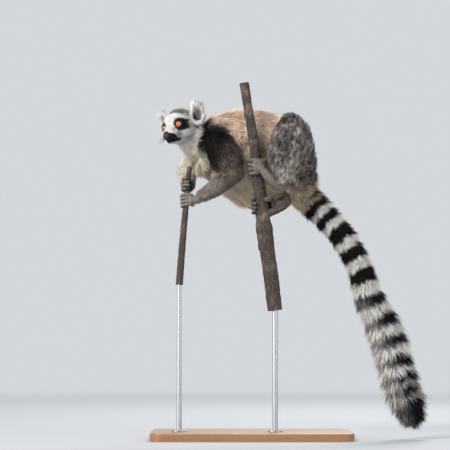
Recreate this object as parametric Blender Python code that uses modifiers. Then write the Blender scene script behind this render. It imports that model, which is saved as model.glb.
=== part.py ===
"""A life-size ring-tailed lemur that clings to a cut stem, on a plain display stand.

Lengths are millimetres until placed() turns them into metres. +X runs from the head towards the tail,
+Y away from the side the lemur shows, +Z up. The origin is the centre of the base's underside.
"""

import math

import bmesh
import bpy
from mathutils import Matrix, Vector

MM = 0.001
GAP = 0.4  # thin cut between neighbouring parts
CUT_REACH = 3.0  # how far a parting tube reaches past the limb that it parts

# ---- the animal's measures
EYE_RADIUS = 9.5
EYE_CENTRE = (22.5, 17.5, 8.0)  # in the head's frame, for the left eye
EYE_SPLAY = math.radians(20)
EAR_CENTRE = (-19.0, 41.0, 18.0)
FINGER_RADIUS = 3.9
TOE_RADIUS = 4.6
DIGIT_STEPS = 6

# ---- how the head is held: turned to the camera's side, nose a little down, left ear raised
HEAD_CENTRE = (-159.0, -5.0, 685.6)
HEAD_TURN = math.radians(32)
HEAD_NOD = math.radians(10)
HEAD_TILT = math.radians(11)

# ---- the joints of the limbs, and the half-thickness of the coated limb at each point
LEFT_ARM = {
    "upper_arm": [((-81, -26, 649), 36), ((-58, -46, 618), 34), ((-42, -60, 586), 24)],
    "forearm": [((-42, -60, 586), 24), ((-72, -53, 556), 20), ((-110, -42, 532), 14)],
}
RIGHT_ARM = {
    "upper_arm": [((-98, 74, 645), 33), ((-124, 92, 620), 28), ((-143, 98, 598), 22)],
    "forearm": [((-143, 98, 598), 22), ((-142, 64, 576), 18), ((-138, 28, 561), 13)],
}
LEFT_LEG = {
    "thigh": [((104, -8, 580), 38), ((107, -48, 617), 32), ((100, -74, 664), 29), ((87, -84, 692), 22)],
    "shank": [((84, -88, 690), 21), ((62, -98, 655), 21), ((59, -100, 615), 20), ((61, -97, 585), 17), ((66, -92, 562), 14)],
}
RIGHT_LEG = {
    "thigh": [((104, 62, 588), 38), ((45, 80, 582), 32), ((-20, 88, 568), 24)],
    "shank": [((-20, 88, 568), 23), ((28, 44, 551), 19), ((77, -6, 531), 13)],
}
# Trunk sections along X: (x, height of centre, half-width, half-height)
TRUNK_MIDDLE_Y = 30
CHEST_END = -10
BREAST = ((-112, 42, 618), (28, 32, 36))  # the full coat low on the front of the chest
TRUNK = [
    (-112, 640, 42, 55),
    (-88, 642, 54, 68),
    (-57, 631, 60, 88),
    (-26, 622, 62, 102),
    (7, 618, 62, 107),
    (40, 618, 62, 98),
    (70, 614, 60, 86),
    (99, 597, 54, 70),
    (121, 574, 44, 54),
    (136, 550, 32, 36),
]
NECK = [((-148, 6, 674), 31), ((-124, 15, 659), 38), ((-92, 26, 650), 48)]
TAIL = [
    ((108, 14, 550), 36),
    ((132, 11, 525), 33),
    ((158, 6, 498), 29),
    ((186, 2, 468), 27),
    ((216, 0, 423), 28),
    ((240, 0, 375), 27),
    ((258, 0, 316), 32),
    ((284, -2, 261), 37),
    ((305, -4, 206), 39),
    ((320, -5, 151), 39),
    ((337, -6, 96), 39),
    ((352, -6, 52), 33),
    ((360, -6, 26), 12),
]
TAIL_CUTS = (0.6, 2, 4, 6, 8, 10)  # where each length of tail begins, counted by its stations

# ---- the stems it holds
STEM = [
    ((-16, -55, 781), 10.5),
    ((-7, -55, 723), 10),
    ((1, -55, 679), 10.5),
    ((9, -55, 624), 11.5),
    ((15, -55, 569), 13),
    ((22, -55, 514), 14.5),
    ((25, -55, 481), 15.5),
    ((28, -55, 459), 19),
    ((34, -55, 415), 16.5),
    ((42, -55, 360), 16.5),
    ((51, -55, 282), 16),
]
STEM_STUB = [((22, -57, 488), 9), ((48, -62, 498), 8), ((74, -67, 509), 6.5)]
TWIG = [((-158, -46, 338), 8), ((-152, -40, 420), 7.5), ((-143, -28, 525), 6.5), ((-141, -18, 557), 6.2), ((-136, -10, 600), 5.5)]

# ---- the stand
BASE_LENGTH, BASE_DEPTH, BASE_THICKNESS = 440, 280, 18
ROD_RADIUS = 6
FLANGE_RADIUS, FLANGE_THICKNESS = 16, 4


def placed(point):
    return Vector(point) * MM


def head_axes():
    """The head's own forward, left and up directions."""
    flat = math.cos(HEAD_NOD)
    forward = Vector((-math.sin(HEAD_TURN) * flat, -math.cos(HEAD_TURN) * flat, -math.sin(HEAD_NOD)))
    level_left = Vector((math.cos(HEAD_TURN), -math.sin(HEAD_TURN), 0))
    left = Matrix.Rotation(HEAD_TILT, 3, forward) @ level_left
    return forward, left, forward.cross(left)


def head_matrix():
    forward, left, up = head_axes()
    turn = Matrix((forward, left, up)).transposed().to_4x4()
    return Matrix.Translation(placed(HEAD_CENTRE)) @ turn


def new_collection(name):
    made = bpy.data.collections.new(name)
    bpy.context.scene.collection.children.link(made)
    return made


def clear_scene():
    for old in list(bpy.data.objects):
        bpy.data.objects.remove(old)


def helper(name, mesh):
    """A cutter or a form: never a part of the model."""
    made = bpy.data.objects.new(name, mesh)
    HELPERS.objects.link(made)
    made.hide_render = True
    made.display_type = "WIRE"
    return made


def evaluated(obj):
    bpy.context.view_layer.update()
    return bpy.data.meshes.new_from_object(obj.evaluated_get(bpy.context.evaluated_depsgraph_get()))


# ---------------------------------------------------------------- forms


def tube(stations, reach=0.0, sides=5, rings=4):
    """A round limb through (point, radius) stations, as a closed mesh."""
    curve = bpy.data.curves.new("tube", "CURVE")
    curve.dimensions = "3D"
    curve.bevel_depth = 1.0
    curve.bevel_resolution = sides
    curve.resolution_u = rings
    curve.use_fill_caps = True
    spline = curve.splines.new("BEZIER")
    spline.bezier_points.add(len(stations) - 1)
    for knot, (point, radius) in zip(spline.bezier_points, stations):
        knot.co = placed(point)
        knot.radius = (radius + reach) * MM
        knot.handle_left_type = "AUTO"
        knot.handle_right_type = "AUTO"
    guide = helper("tube", curve)
    mesh = evaluated(guide)
    bpy.data.objects.remove(guide)
    welded = bmesh.new()
    welded.from_mesh(mesh)
    bmesh.ops.remove_doubles(welded, verts=welded.verts, dist=0.00001)
    bmesh.ops.recalc_face_normals(welded, faces=welded.faces)
    welded.to_mesh(mesh)
    welded.free()
    return mesh


def blob(centre, radii, frame=None, rounds=24):
    """An ellipsoid, in the world or in a frame such as the head's."""
    mesh = bpy.data.meshes.new("blob")
    ball = bmesh.new()
    bmesh.ops.create_uvsphere(ball, u_segments=rounds, v_segments=rounds // 2, radius=1)
    shape = Matrix.Translation(placed(centre)) @ Matrix.Diagonal((*placed(radii), 1))
    bmesh.ops.transform(ball, matrix=(frame or Matrix()) @ shape, verts=ball.verts)
    ball.to_mesh(mesh)
    ball.free()
    return mesh


def loft(sections, middle_y, rounds=24):
    """Upright ellipses along X, bridged into one closed form."""
    mesh = bpy.data.meshes.new("loft")
    body = bmesh.new()
    upright = Matrix.Rotation(math.pi / 2, 4, "Y")
    previous = None
    for x, z, half_width, half_height in sections:
        place = Matrix.Translation(placed((x, middle_y, z))) @ upright
        size = Matrix.Diagonal((half_height * MM, half_width * MM, 1, 1))
        ring = bmesh.ops.create_circle(body, segments=rounds, radius=1, matrix=place @ size)["verts"]
        edges = list({edge for vert in ring for edge in vert.link_edges})
        if previous:
            bmesh.ops.bridge_loops(body, edges=previous + edges)
        else:
            first = edges
        previous = edges
    bmesh.ops.edgeloop_fill(body, edges=first)
    bmesh.ops.edgeloop_fill(body, edges=previous)
    bmesh.ops.recalc_face_normals(body, faces=body.faces)
    body.to_mesh(mesh)
    body.free()
    return mesh


def clay(forms, voxel, smoothing, triangles):
    """Fuses overlapping closed forms into one smooth solid of about that many triangles."""
    joined = bmesh.new()
    for form in forms:
        joined.from_mesh(form)
    mesh = bpy.data.meshes.new("clay")
    joined.to_mesh(mesh)
    joined.free()
    lump = helper("clay", mesh)
    remesh = lump.modifiers.new("fuse", "REMESH")
    remesh.mode = "VOXEL"
    remesh.voxel_size = voxel * MM
    smooth = lump.modifiers.new("smooth", "SMOOTH")
    smooth.factor = 0.5
    smooth.iterations = smoothing
    fused = evaluated(lump)
    lump.modifiers.clear()
    lump.data = fused
    facets = sum(len(face.vertices) - 2 for face in fused.polygons)
    fewer = lump.modifiers.new("fewer", "DECIMATE")
    fewer.ratio = triangles / facets
    made = evaluated(lump)
    bpy.data.objects.remove(lump)
    return made


# ---------------------------------------------------------------- cutting


def boolean(mesh, cutter, operation):
    body = helper("body", mesh)
    tool = helper("tool", cutter)
    cut = body.modifiers.new("cut", "BOOLEAN")
    cut.object = tool
    cut.operation = operation
    made = evaluated(body)
    bpy.data.objects.remove(body)
    bpy.data.objects.remove(tool)
    return made


def grown(mesh, by):
    """A copy whose faces stand out by that many millimetres."""
    swollen = bmesh.new()
    swollen.from_mesh(mesh)
    swollen.normal_update()
    moves = [vert.normal * vert.calc_shell_factor() * by * MM for vert in swollen.verts]
    for vert, move in zip(swollen.verts, moves):
        vert.co += move
    made = bpy.data.meshes.new("grown")
    swollen.to_mesh(made)
    swollen.free()
    return made


def main_island(mesh):
    """The largest connected solid of a mesh, without the crumbs that a cut can leave."""
    pieces = bmesh.new()
    pieces.from_mesh(mesh)
    left = set(pieces.verts)
    islands = []
    while left:
        island = {left.pop()}
        edge_of_island = list(island)
        while edge_of_island:
            vert = edge_of_island.pop()
            for edge in vert.link_edges:
                other = edge.other_vert(vert)
                if other in left:
                    left.remove(other)
                    island.add(other)
                    edge_of_island.append(other)
        islands.append(island)
    islands.sort(key=len)
    for crumbs in islands[:-1]:
        bmesh.ops.delete(pieces, geom=list(crumbs), context="VERTS")
    bmesh.ops.dissolve_degenerate(pieces, dist=0.000005, edges=pieces.edges)
    made = bpy.data.meshes.new("island")
    pieces.to_mesh(made)
    pieces.free()
    return made


def sliced(mesh, point, keep_towards):
    """The part of a closed mesh on one side of a plane, capped, half a gap short of it."""
    direction = Vector(keep_towards).normalized()
    piece = bmesh.new()
    piece.from_mesh(mesh)
    cut = bmesh.ops.bisect_plane(
        piece,
        geom=piece.verts[:] + piece.edges[:] + piece.faces[:],
        plane_co=placed(point) + direction * GAP / 2 * MM,
        plane_no=-direction,
        dist=0.000001,
        clear_outer=True,
    )
    rim = [item for item in cut["geom_cut"] if isinstance(item, bmesh.types.BMEdge)]
    bmesh.ops.edgeloop_fill(piece, edges=rim)
    bmesh.ops.triangulate(piece, faces=piece.faces)
    bmesh.ops.recalc_face_normals(piece, faces=piece.faces)
    made = bpy.data.meshes.new("slice")
    piece.to_mesh(made)
    piece.free()
    return made


def parted(mesh, region):
    """(what lies inside the region, what is left of the mesh), a gap apart."""
    inside = boolean(mesh, region.copy(), "INTERSECT")
    rest = boolean(mesh, grown(region, GAP), "DIFFERENCE")
    return main_island(inside), main_island(rest)


def clear_of(mesh, *neighbours):
    """Cuts the neighbours out of a mesh, with a gap; the second, closer pass clears their creases."""
    for neighbour in neighbours:
        for gap in (GAP, GAP * 0.3):
            mesh = main_island(boolean(mesh, grown(neighbour, gap), "DIFFERENCE"))
    return mesh


# ---------------------------------------------------------------- the animal


def head_forms():
    frame = head_matrix()
    forms = [
        blob((-8, 0, 6), (43, 35, 35), frame),
        blob((18, 0, 9), (24, 29, 23), frame),
        blob((6, 0, -18), (32, 24, 20), frame),
    ]
    for side in (-1, 1):
        forms.append(blob((4, side * 20, -11), (30, 19, 23), frame))
    muzzle = [((22, 0, -2), 23), ((38, 0, -6), 17.5), ((52, 0, -9.5), 13.2), ((60, 0, -11.5), 9.5)]
    jaw = [((20, 0, -18), 15), ((44, 0, -19), 9), ((54, 0, -18.5), 6.5)]
    for line in (muzzle, jaw):
        snout = tube(line)
        snout.transform(frame)
        forms.append(snout)
    return forms


def ear(side):
    """A cupped ear, open forwards and outwards, with its tufted rim drawn up to a point."""
    mesh = bpy.data.meshes.new("ear")
    facing = Vector((0.72, side * 0.66, 0.12)).normalized()
    upward = Vector((-0.04, side * 0.14, 1)).normalized()
    across = upward.cross(facing).normalized()
    upward = facing.cross(across)
    turn = Matrix((facing, across, upward)).transposed().to_4x4()
    place = head_matrix() @ Matrix.Translation(placed((EAR_CENTRE[0], side * EAR_CENTRE[1], EAR_CENTRE[2]))) @ turn
    shell = bmesh.new()
    bmesh.ops.create_uvsphere(shell, u_segments=14, v_segments=8, radius=1)
    for vert in shell.verts:
        height = max(vert.co.z, 0.0)
        vert.co = (vert.co.x * 8.5, vert.co.y * (18 - 5 * height), vert.co.z * (24 + 9 * height))
    bmesh.ops.transform(shell, matrix=place @ Matrix.Scale(MM, 4), verts=shell.verts)
    shell.to_mesh(mesh)
    shell.free()
    hollow = blob((9, 0, 1), (11, 12, 19), place, rounds=12)
    return boolean(mesh, hollow, "DIFFERENCE")


def grip(root, centre, axis, palm_side, palm_size, digit_size, digits, thumb):
    """The forms of a hand or foot closed round a stem: root, palm, and digits wrapped round the axis.

    digits and thumb are (offsets along the axis, first angle, last angle), angles counted round the axis
    from the palm's side; palm_size is (how far the palm's middle is from the axis, half-width, half-thickness)
    and digit_size is (how far a digit's middle is from the axis, its radius).
    """
    axis = Vector(axis).normalized()
    palm_side = Vector(palm_side)
    palm_side = (palm_side - axis * palm_side.dot(axis)).normalized()
    palm_distance, half_width, half_thickness = palm_size
    digit_distance, digit_radius = digit_size
    palm = Vector(centre) + palm_side * palm_distance
    turn = Matrix((palm_side, axis.cross(palm_side), axis)).transposed().to_4x4()
    frame = Matrix.Translation(placed(palm)) @ turn
    forms = [blob((0, 0, 0), (half_thickness, half_width * 0.95, half_width), frame)]
    for offsets, first, last in (digits, thumb):
        for offset in offsets:
            path = []
            for step in range(DIGIT_STEPS + 1):
                angle = math.radians(first + (last - first) * step / DIGIT_STEPS)
                outward = Matrix.Rotation(angle, 3, axis) @ palm_side
                away = palm_distance if step == 0 else digit_distance
                swell = 0.8 if step == DIGIT_STEPS else 1.0
                path.append((Vector(centre) + axis * offset + outward * away, digit_radius * swell))
            forms.append(tube(path, sides=3))
    forms.append(tube([*root, (palm, half_thickness)], sides=4))
    return forms


def extended(stations, before=0.0, after=0.0):
    """The stations, with straight ends that run on by so many millimetres."""
    made = list(stations)
    if after:
        (near, _), (far, radius) = stations[-2], stations[-1]
        made.append((Vector(far) + (Vector(far) - Vector(near)).normalized() * after, radius))
    if before:
        (near, radius), (far, _) = stations[0], stations[1]
        made.insert(0, (Vector(near) - (Vector(far) - Vector(near)).normalized() * before, radius))
    return made


def body_forms():
    forms = [loft(TRUNK, TRUNK_MIDDLE_Y), blob(*BREAST), tube(NECK), tube(TAIL, sides=6)]
    for limb in (LEFT_ARM, RIGHT_ARM, LEFT_LEG, RIGHT_LEG):
        upper, lower = limb.values()
        forms.append(tube(upper))
        forms.append(tube(lower))
        for stations in (upper, lower):
            point, radius = stations[0]
            forms.append(blob(point, (radius, radius, radius)))
    return forms


def part_limbs(body):
    """Takes the limbs off the body, the far lengths first. Returns ({node: mesh}, the rest)."""
    nodes = {}
    for side, arm, leg in (("left", LEFT_ARM, LEFT_LEG), ("right", RIGHT_ARM, RIGHT_LEG)):
        for limb in (arm, leg):
            upper_name, lower_name = limb
            lower, upper = limb[lower_name], limb[upper_name]
            for name, line in ((lower_name, extended(lower, after=20)), (upper_name, extended(upper, after=40))):
                region = tube(line, reach=CUT_REACH, sides=2, rings=3)
                nodes[f"{name}_{side}"], body = parted(body, region)
    return nodes, body


def along_tail(station):
    """(point, direction) at a place along the tail, counted by its stations."""
    index = int(station)
    near, far = Vector(TAIL[index][0]), Vector(TAIL[index + 1][0])
    return near.lerp(far, station - index), (far - near).normalized()


def part_tail(body):
    nodes = {}
    for number in range(len(TAIL_CUTS), 0, -1):
        point, direction = along_tail(TAIL_CUTS[number - 1])
        nodes[f"tail_{number}"] = main_island(sliced(body, point, direction))
        body = main_island(sliced(body, point, -direction))
    return nodes, body


def eye_parts(head):
    """The two eyes, and the head with their sockets and lid openings."""
    frame = head_matrix()
    nodes = {}
    x, y, z = EYE_CENTRE
    for name, side in (("left", 1), ("right", -1)):
        centre = Vector((x, side * y, z))
        gaze = Vector((math.cos(EYE_SPLAY), side * math.sin(EYE_SPLAY), 0))
        ball = (EYE_RADIUS,) * 3
        nodes[f"eye_{name}"] = blob(centre, ball, frame, rounds=16)
        socket = blob(centre, (EYE_RADIUS + GAP * 1.5,) * 3, frame, rounds=16)
        opening = tube([(centre + gaze * 2, 7.6), (centre + gaze * 24, 14)], sides=3, rings=1)
        opening.transform(frame)
        head = boolean(boolean(head, socket, "DIFFERENCE"), opening, "DIFFERENCE")
    return nodes, main_island(head)


# ---------------------------------------------------------------- hard pieces


def turned(profile, x, y):
    """A turned piece about an upright axis: profile is (radius, height) from its foot to its top."""
    mesh = bpy.data.meshes.new("turned")
    lathe = bmesh.new()
    verts = [lathe.verts.new(placed((radius, 0, height))) for radius, height in profile]
    edges = [lathe.edges.new(pair) for pair in zip(verts, verts[1:])]
    bmesh.ops.spin(
        lathe, geom=verts + edges, cent=(0, 0, 0), axis=(0, 0, 1), angle=math.tau, steps=20, use_merge=True
    )
    bmesh.ops.remove_doubles(lathe, verts=lathe.verts, dist=0.00001)
    bmesh.ops.translate(lathe, vec=placed((x, y, 0)), verts=lathe.verts)
    bmesh.ops.recalc_face_normals(lathe, faces=lathe.faces)
    lathe.to_mesh(mesh)
    lathe.free()
    return mesh


def rod(foot_of, tip, into):
    """A rod with a flange, standing on the base and ending inside the stem above it."""
    x, y, z = foot_of
    lift = BASE_THICKNESS + 0.3
    profile = [
        (0, lift),
        (FLANGE_RADIUS - 0.5, lift),
        (FLANGE_RADIUS, lift + 0.5),
        (FLANGE_RADIUS, lift + FLANGE_THICKNESS - 1),
        (FLANGE_RADIUS - 1, lift + FLANGE_THICKNESS),
        (ROD_RADIUS, lift + FLANGE_THICKNESS),
        (ROD_RADIUS * tip, z + into - 1),
        (ROD_RADIUS * tip - 1, z + into),
        (0, z + into),
    ]
    return turned(profile, x, y)


def base():
    mesh = bpy.data.meshes.new("base")
    slab = bmesh.new()
    bmesh.ops.create_cube(slab, size=1)
    size = Matrix.Diagonal((*placed((BASE_LENGTH, BASE_DEPTH, BASE_THICKNESS)), 1))
    middle = Matrix.Translation(placed((0, 0, BASE_THICKNESS / 2)))
    bmesh.ops.transform(slab, matrix=middle @ size, verts=slab.verts)
    upright = [edge for edge in slab.edges if abs(edge.verts[0].co.z - edge.verts[1].co.z) > 0.001]
    bmesh.ops.bevel(slab, geom=upright, offset=0.028, segments=6, profile=0.5, affect="EDGES")
    top = BASE_THICKNESS * MM
    rim = [edge for edge in slab.edges if min(vert.co.z for vert in edge.verts) > top - 0.0001]
    bmesh.ops.bevel(slab, geom=rim, offset=0.003, segments=2, profile=0.5, affect="EDGES")
    slab.to_mesh(mesh)
    slab.free()
    return mesh


def stem_meshes():
    """The two gripped stems, each with its rod's hole, and the rods."""
    stem_foot, stem_radius = STEM[-1]
    twig_foot, twig_radius = TWIG[0]
    rods = {
        "stand_rod_stem": rod(stem_foot, 1.0, 30),
        "stand_rod_twig": rod(twig_foot, 0.75, 22),
    }
    stem = clay([tube(STEM, sides=6), tube(STEM_STUB, sides=5)], 1.6, 4, 460)
    twig = tube(TWIG, sides=2, rings=3)
    return {
        "perch_stem": boolean(stem, grown(rods["stand_rod_stem"], GAP), "DIFFERENCE"),
        "perch_twig": boolean(twig, grown(rods["stand_rod_twig"], GAP), "DIFFERENCE"),
        **rods,
    }


# ---------------------------------------------------------------- hands and feet


def hands_and_feet():
    """Each closed round its stem as it grips it."""
    down, up = Vector(TWIG[2][0]) - Vector(TWIG[3][0]), Vector(TWIG[3][0]) - Vector(TWIG[2][0])
    fingers = [offset * FINGER_RADIUS for offset in (-3.0, -1.0, 1.0, 3.0)]
    toes = [offset * TOE_RADIUS for offset in (-3.1, -1.05, 1.05, 3.1)]
    finger, toe = FINGER_RADIUS, TOE_RADIUS
    left_wrist, right_wrist = LEFT_ARM["forearm"][-1], RIGHT_ARM["forearm"][-1]
    left_ankle, right_ankle = LEFT_LEG["shank"][-1], RIGHT_LEG["shank"][-1]
    forms = {
        "hand_left": grip(
            [left_wrist, ((-121, -37, 526), 11)],
            (-143, -28.5, 523), down, (1, -0.3, 0), (14, 14, 7), (10.8, finger), (fingers, 10, 215), ([-6], -15, -140),
        ),
        "hand_right": grip(
            [right_wrist, ((-138, 14, 558), 10.5)],
            (-141, -17, 560), up, (0.1, 1, 0), (13.5, 14, 7), (10.5, finger), (fingers, 10, 205), ([7], -15, -135),
        ),
        "foot_left": grip(
            [left_ankle, ((68, -84, 551), 12), ((44, -87, 566), 13)],
            (12, -55, 596), (0, 0, -1), (0.25, -1, 0), (21.5, 18, 8), (17.2, toe), (toes, 15, 200), ([-6], -25, -150),
        ),
        "foot_right": grip(
            [right_ankle, ((77, -8, 522), 12), ((60, -24, 514), 12.5)],
            (22.5, -55, 511), (0, 0, 1), (0.7, 0.72, 0), (23.5, 17, 8), (19.8, toe), (toes, 10, 185), ([8], -25, -120),
        ),
    }
    return {name: clay(parts, 1.5, 3, 270) for name, parts in forms.items()}


# ---------------------------------------------------------------- finish


def material(name):
    colour, roughness, metallic = FINISHES[name]
    made = bpy.data.materials.get(name)
    if made is None:
        made = bpy.data.materials.new(name)
        made.use_nodes = True
        shader = made.node_tree.nodes["Principled BSDF"]
        shader.inputs["Base Color"].default_value = (*colour, 1)
        shader.inputs["Roughness"].default_value = roughness
        shader.inputs["Metallic"].default_value = metallic
    return made


FINISHES = {
    "fur_white": ((0.80, 0.77, 0.72), 0.9, 0.0),
    "fur_grey": ((0.30, 0.27, 0.25), 0.9, 0.0),
    "fur_rufous": ((0.36, 0.22, 0.16), 0.9, 0.0),
    "fur_pale": ((0.60, 0.54, 0.44), 0.9, 0.0),
    "fur_black": ((0.03, 0.027, 0.03), 0.9, 0.0),
    "skin_black": ((0.02, 0.02, 0.022), 0.6, 0.0),
    "eye_orange": ((0.75, 0.23, 0.03), 0.1, 0.0),
    "bark": ((0.09, 0.075, 0.065), 0.85, 0.0),
    "stand_wood": ((0.33, 0.20, 0.11), 0.45, 0.0),
    "stand_metal": ((0.25, 0.25, 0.26), 0.35, 1.0),
}


def finish_of(name):
    for start, finish in (
        ("perch", "bark"), ("stand_base", "stand_wood"), ("stand_rod", "stand_metal"), ("eye", "eye_orange"),
        ("ear", "fur_white"), ("head", "fur_white"), ("hand", "skin_black"), ("foot", "skin_black"),
        ("neck", "fur_grey"), ("chest", "fur_rufous"), ("abdomen", "fur_rufous"), ("tail_1", "fur_rufous"),
        ("tail_2", "fur_black"), ("tail_3", "fur_white"), ("tail_4", "fur_black"), ("tail_5", "fur_white"),
        ("tail_6", "fur_black"),
    ):
        if name.startswith(start):
            return finish
    return "fur_grey"


def publish(nodes):
    for name, mesh in nodes.items():
        mesh.name = name
        part = bpy.data.objects.new(name, mesh)
        MODEL.objects.link(part)
        mesh.materials.clear()
        mesh.materials.append(material(finish_of(name)))
        for face in mesh.polygons:
            face.use_smooth = False
            face.material_index = 0


def lemur():
    hard = stem_meshes()
    body = clay(body_forms(), 4.0, 4, 1700)
    body = boolean(body, grown(hard["perch_stem"], GAP), "DIFFERENCE")
    nodes, body = part_limbs(body)
    tail, body = part_tail(body)
    nodes.update(tail)

    head = clay(head_forms(), 2.0, 10, 560)
    point, toward_chest = Vector(NECK[1][0]).lerp(Vector(NECK[2][0]), 0.6), Vector(NECK[2][0]) - Vector(NECK[1][0])
    neck = main_island(sliced(body, point, -toward_chest))
    body = main_island(sliced(body, point, toward_chest))
    nodes["chest"] = main_island(sliced(body, (CHEST_END, 0, 0), (-1, 0, 0)))
    nodes["abdomen"] = main_island(sliced(body, (CHEST_END, 0, 0), (1, 0, 0)))

    for name, side in (("left", 1), ("right", -1)):
        nodes[f"ear_{name}"] = clear_of(ear(side), head)
    nodes["neck"] = clear_of(neck, nodes["ear_left"], nodes["ear_right"], head)
    eyes, nodes["head"] = eye_parts(head)
    nodes.update(eyes)

    for name, mesh in hands_and_feet().items():
        stem = hard["perch_twig" if name.startswith("hand") else "perch_stem"]
        limb = nodes[name.replace("hand", "forearm").replace("foot", "shank")]
        nodes[name] = clear_of(mesh, stem, limb)
    nodes["abdomen"] = clear_of(nodes["abdomen"], nodes["foot_left"])
    nodes["chest"] = clear_of(nodes["chest"], nodes["foot_left"])
    return {**nodes, **hard, "stand_base": base()}


clear_scene()
MODEL = new_collection("ring_tailed_lemur")
HELPERS = new_collection("helpers")
publish(lemur())
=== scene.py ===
import math

import bmesh
import bpy
import numpy as np
from mathutils import Matrix, Vector
from mathutils.bvhtree import BVHTree
from mathutils.kdtree import KDTree


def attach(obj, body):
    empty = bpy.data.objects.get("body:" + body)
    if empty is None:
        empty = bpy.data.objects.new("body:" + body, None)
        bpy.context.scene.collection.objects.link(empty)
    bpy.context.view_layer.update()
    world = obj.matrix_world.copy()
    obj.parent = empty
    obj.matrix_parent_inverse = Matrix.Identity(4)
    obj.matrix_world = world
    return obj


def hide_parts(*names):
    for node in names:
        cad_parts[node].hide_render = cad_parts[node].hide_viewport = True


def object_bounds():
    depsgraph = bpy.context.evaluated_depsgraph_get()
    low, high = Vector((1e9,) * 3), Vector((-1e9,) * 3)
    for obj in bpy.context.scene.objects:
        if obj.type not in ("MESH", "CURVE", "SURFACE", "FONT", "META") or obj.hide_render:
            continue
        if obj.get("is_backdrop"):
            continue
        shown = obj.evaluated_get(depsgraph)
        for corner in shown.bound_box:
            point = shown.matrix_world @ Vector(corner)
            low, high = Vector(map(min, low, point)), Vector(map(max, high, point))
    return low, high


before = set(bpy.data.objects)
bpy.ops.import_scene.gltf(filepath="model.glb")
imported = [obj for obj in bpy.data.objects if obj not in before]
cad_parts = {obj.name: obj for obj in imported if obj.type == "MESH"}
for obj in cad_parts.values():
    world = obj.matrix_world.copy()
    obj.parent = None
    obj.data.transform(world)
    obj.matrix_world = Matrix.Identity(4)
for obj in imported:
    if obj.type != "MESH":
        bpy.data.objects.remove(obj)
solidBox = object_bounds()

# A still, life-size ring-tailed lemur on a cut stem: skin, coat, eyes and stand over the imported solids.
# Lengths in the dictionaries are millimetres, in the frame of the solids.
mm = 0.001
scene = bpy.context.scene


def at(point):
    return Vector(point) * mm


def paint(*screen):  # a screen colour as the linear one that nodes and attributes hold
    shares = [value / 255 for value in screen]
    return tuple(c / 12.92 if c <= 0.04045 else ((c + 0.055) / 1.055) ** 2.4 for c in shares)


# limbs, neck and tail: (point, half thickness with coat, coat depth)
body = {
    "neck": [((-148, 6, 674), 31, 8), ((-124, 15, 659), 38, 11), ((-92, 26, 650), 48, 14)],
    "upperArmLeft": [((-81, -26, 649), 36, 13), ((-58, -46, 618), 34, 12), ((-42, -60, 586), 24, 8)],
    "forearmLeft": [((-42, -60, 586), 24, 8), ((-72, -53, 556), 20, 6.5), ((-112, -41.5, 531), 14, 4)],
    "upperArmRight": [((-98, 74, 645), 33, 12), ((-124, 92, 620), 28, 10), ((-143, 98, 598), 22, 7)],
    "forearmRight": [((-143, 98, 598), 22, 7), ((-142, 64, 576), 18, 6), ((-138, 26, 560), 13, 4)],
    "thighLeft": [
        ((104, -8, 580), 38, 14), ((107, -48, 617), 32, 12), ((100, -74, 664), 29, 10),
        ((87, -84, 692), 22, 7),
    ],
    "shankLeft": [
        ((84, -88, 690), 21, 7), ((62, -98, 655), 21, 7), ((59, -100, 615), 20, 6.5),
        ((61, -97, 585), 17, 5.5), ((66, -92, 562), 14, 4),
    ],
    "thighRight": [((104, 62, 588), 38, 14), ((45, 80, 582), 32, 12), ((-20, 88, 568), 24, 8)],
    "shankRight": [((-20, 88, 568), 23, 8), ((28, 44, 551), 19, 6), ((77, -6, 531), 13, 4)],
    "tail": [
        ((108, 14, 550), 36, 18), ((132, 11, 525), 33, 20), ((158, 6, 498), 29, 19), ((186, 2, 468), 27, 18),
        ((216, 0, 423), 28, 19.5), ((240, 0, 375), 27, 19), ((258, 0, 316), 32, 24),
        ((284, -2, 261), 37, 29.5), ((305, -4, 206), 39, 32), ((320, -5, 151), 39, 32.5),
        ((337, -6, 96), 38, 32), ((350, -6, 60), 30, 26), ((356, -6, 42), 20, 17),
    ],
}
trunk = {
    "middle": 30,  # y of the trunk's own mid-plane
    "sections": [  # x, height, half width, half height, coat depth
        (-112, 640, 42, 55, 12), (-88, 643, 54, 70, 14), (-57, 633, 60, 91, 15), (-26, 625, 62, 106, 15),
        (7, 621, 62, 111, 15), (40, 621, 62, 102, 15), (70, 616, 60, 89, 15), (99, 597, 54, 70, 15),
        (121, 574, 44, 54, 15), (134, 552, 30, 36, 13),
    ],
    "breast": ((-112, 42, 618), (16, 20, 24)),
}
headPose = {
    "centre": (-159, -5, 685.6),
    "turn": 32,  # degrees towards the animal's right
    "nod": 10,
    "tilt": 11,  # left ear raised
    "eye": (22.5, 17.5, 8),  # forward, left, up from the centre
    "eyeRadius": 9.5,
    "splay": 15,
}


def turnTo(*axes):  # the turn that lays x, y and z along three axes
    return Matrix(axes).transposed().to_4x4()


def headMatrix():
    turn, nod, tilt = (math.radians(headPose[k]) for k in ("turn", "nod", "tilt"))
    forward = Vector((-math.sin(turn) * math.cos(nod), -math.cos(turn) * math.cos(nod), -math.sin(nod)))
    left = Matrix.Rotation(tilt, 3, forward) @ Vector((math.cos(turn), -math.sin(turn), 0))
    axes = turnTo(forward, left, forward.cross(left))
    return Matrix.Translation(at(headPose["centre"])) @ axes @ Matrix.Scale(mm, 4)


headPlace = headMatrix()  # head millimetres to the frame


def seenFrom(place, points):  # points of the frame in a place's own millimetres
    back = np.array(place.inverted())
    return points @ back[:3, :3].T + back[:3, 3]


def foldedOver(local):  # the head's right half laid over the left
    return np.stack([local[:, 0], np.abs(local[:, 1]), local[:, 2]], 1)


def newObject(name, mesh):
    made = bpy.data.objects.new(name, mesh)
    scene.collection.objects.link(made)
    return made


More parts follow.
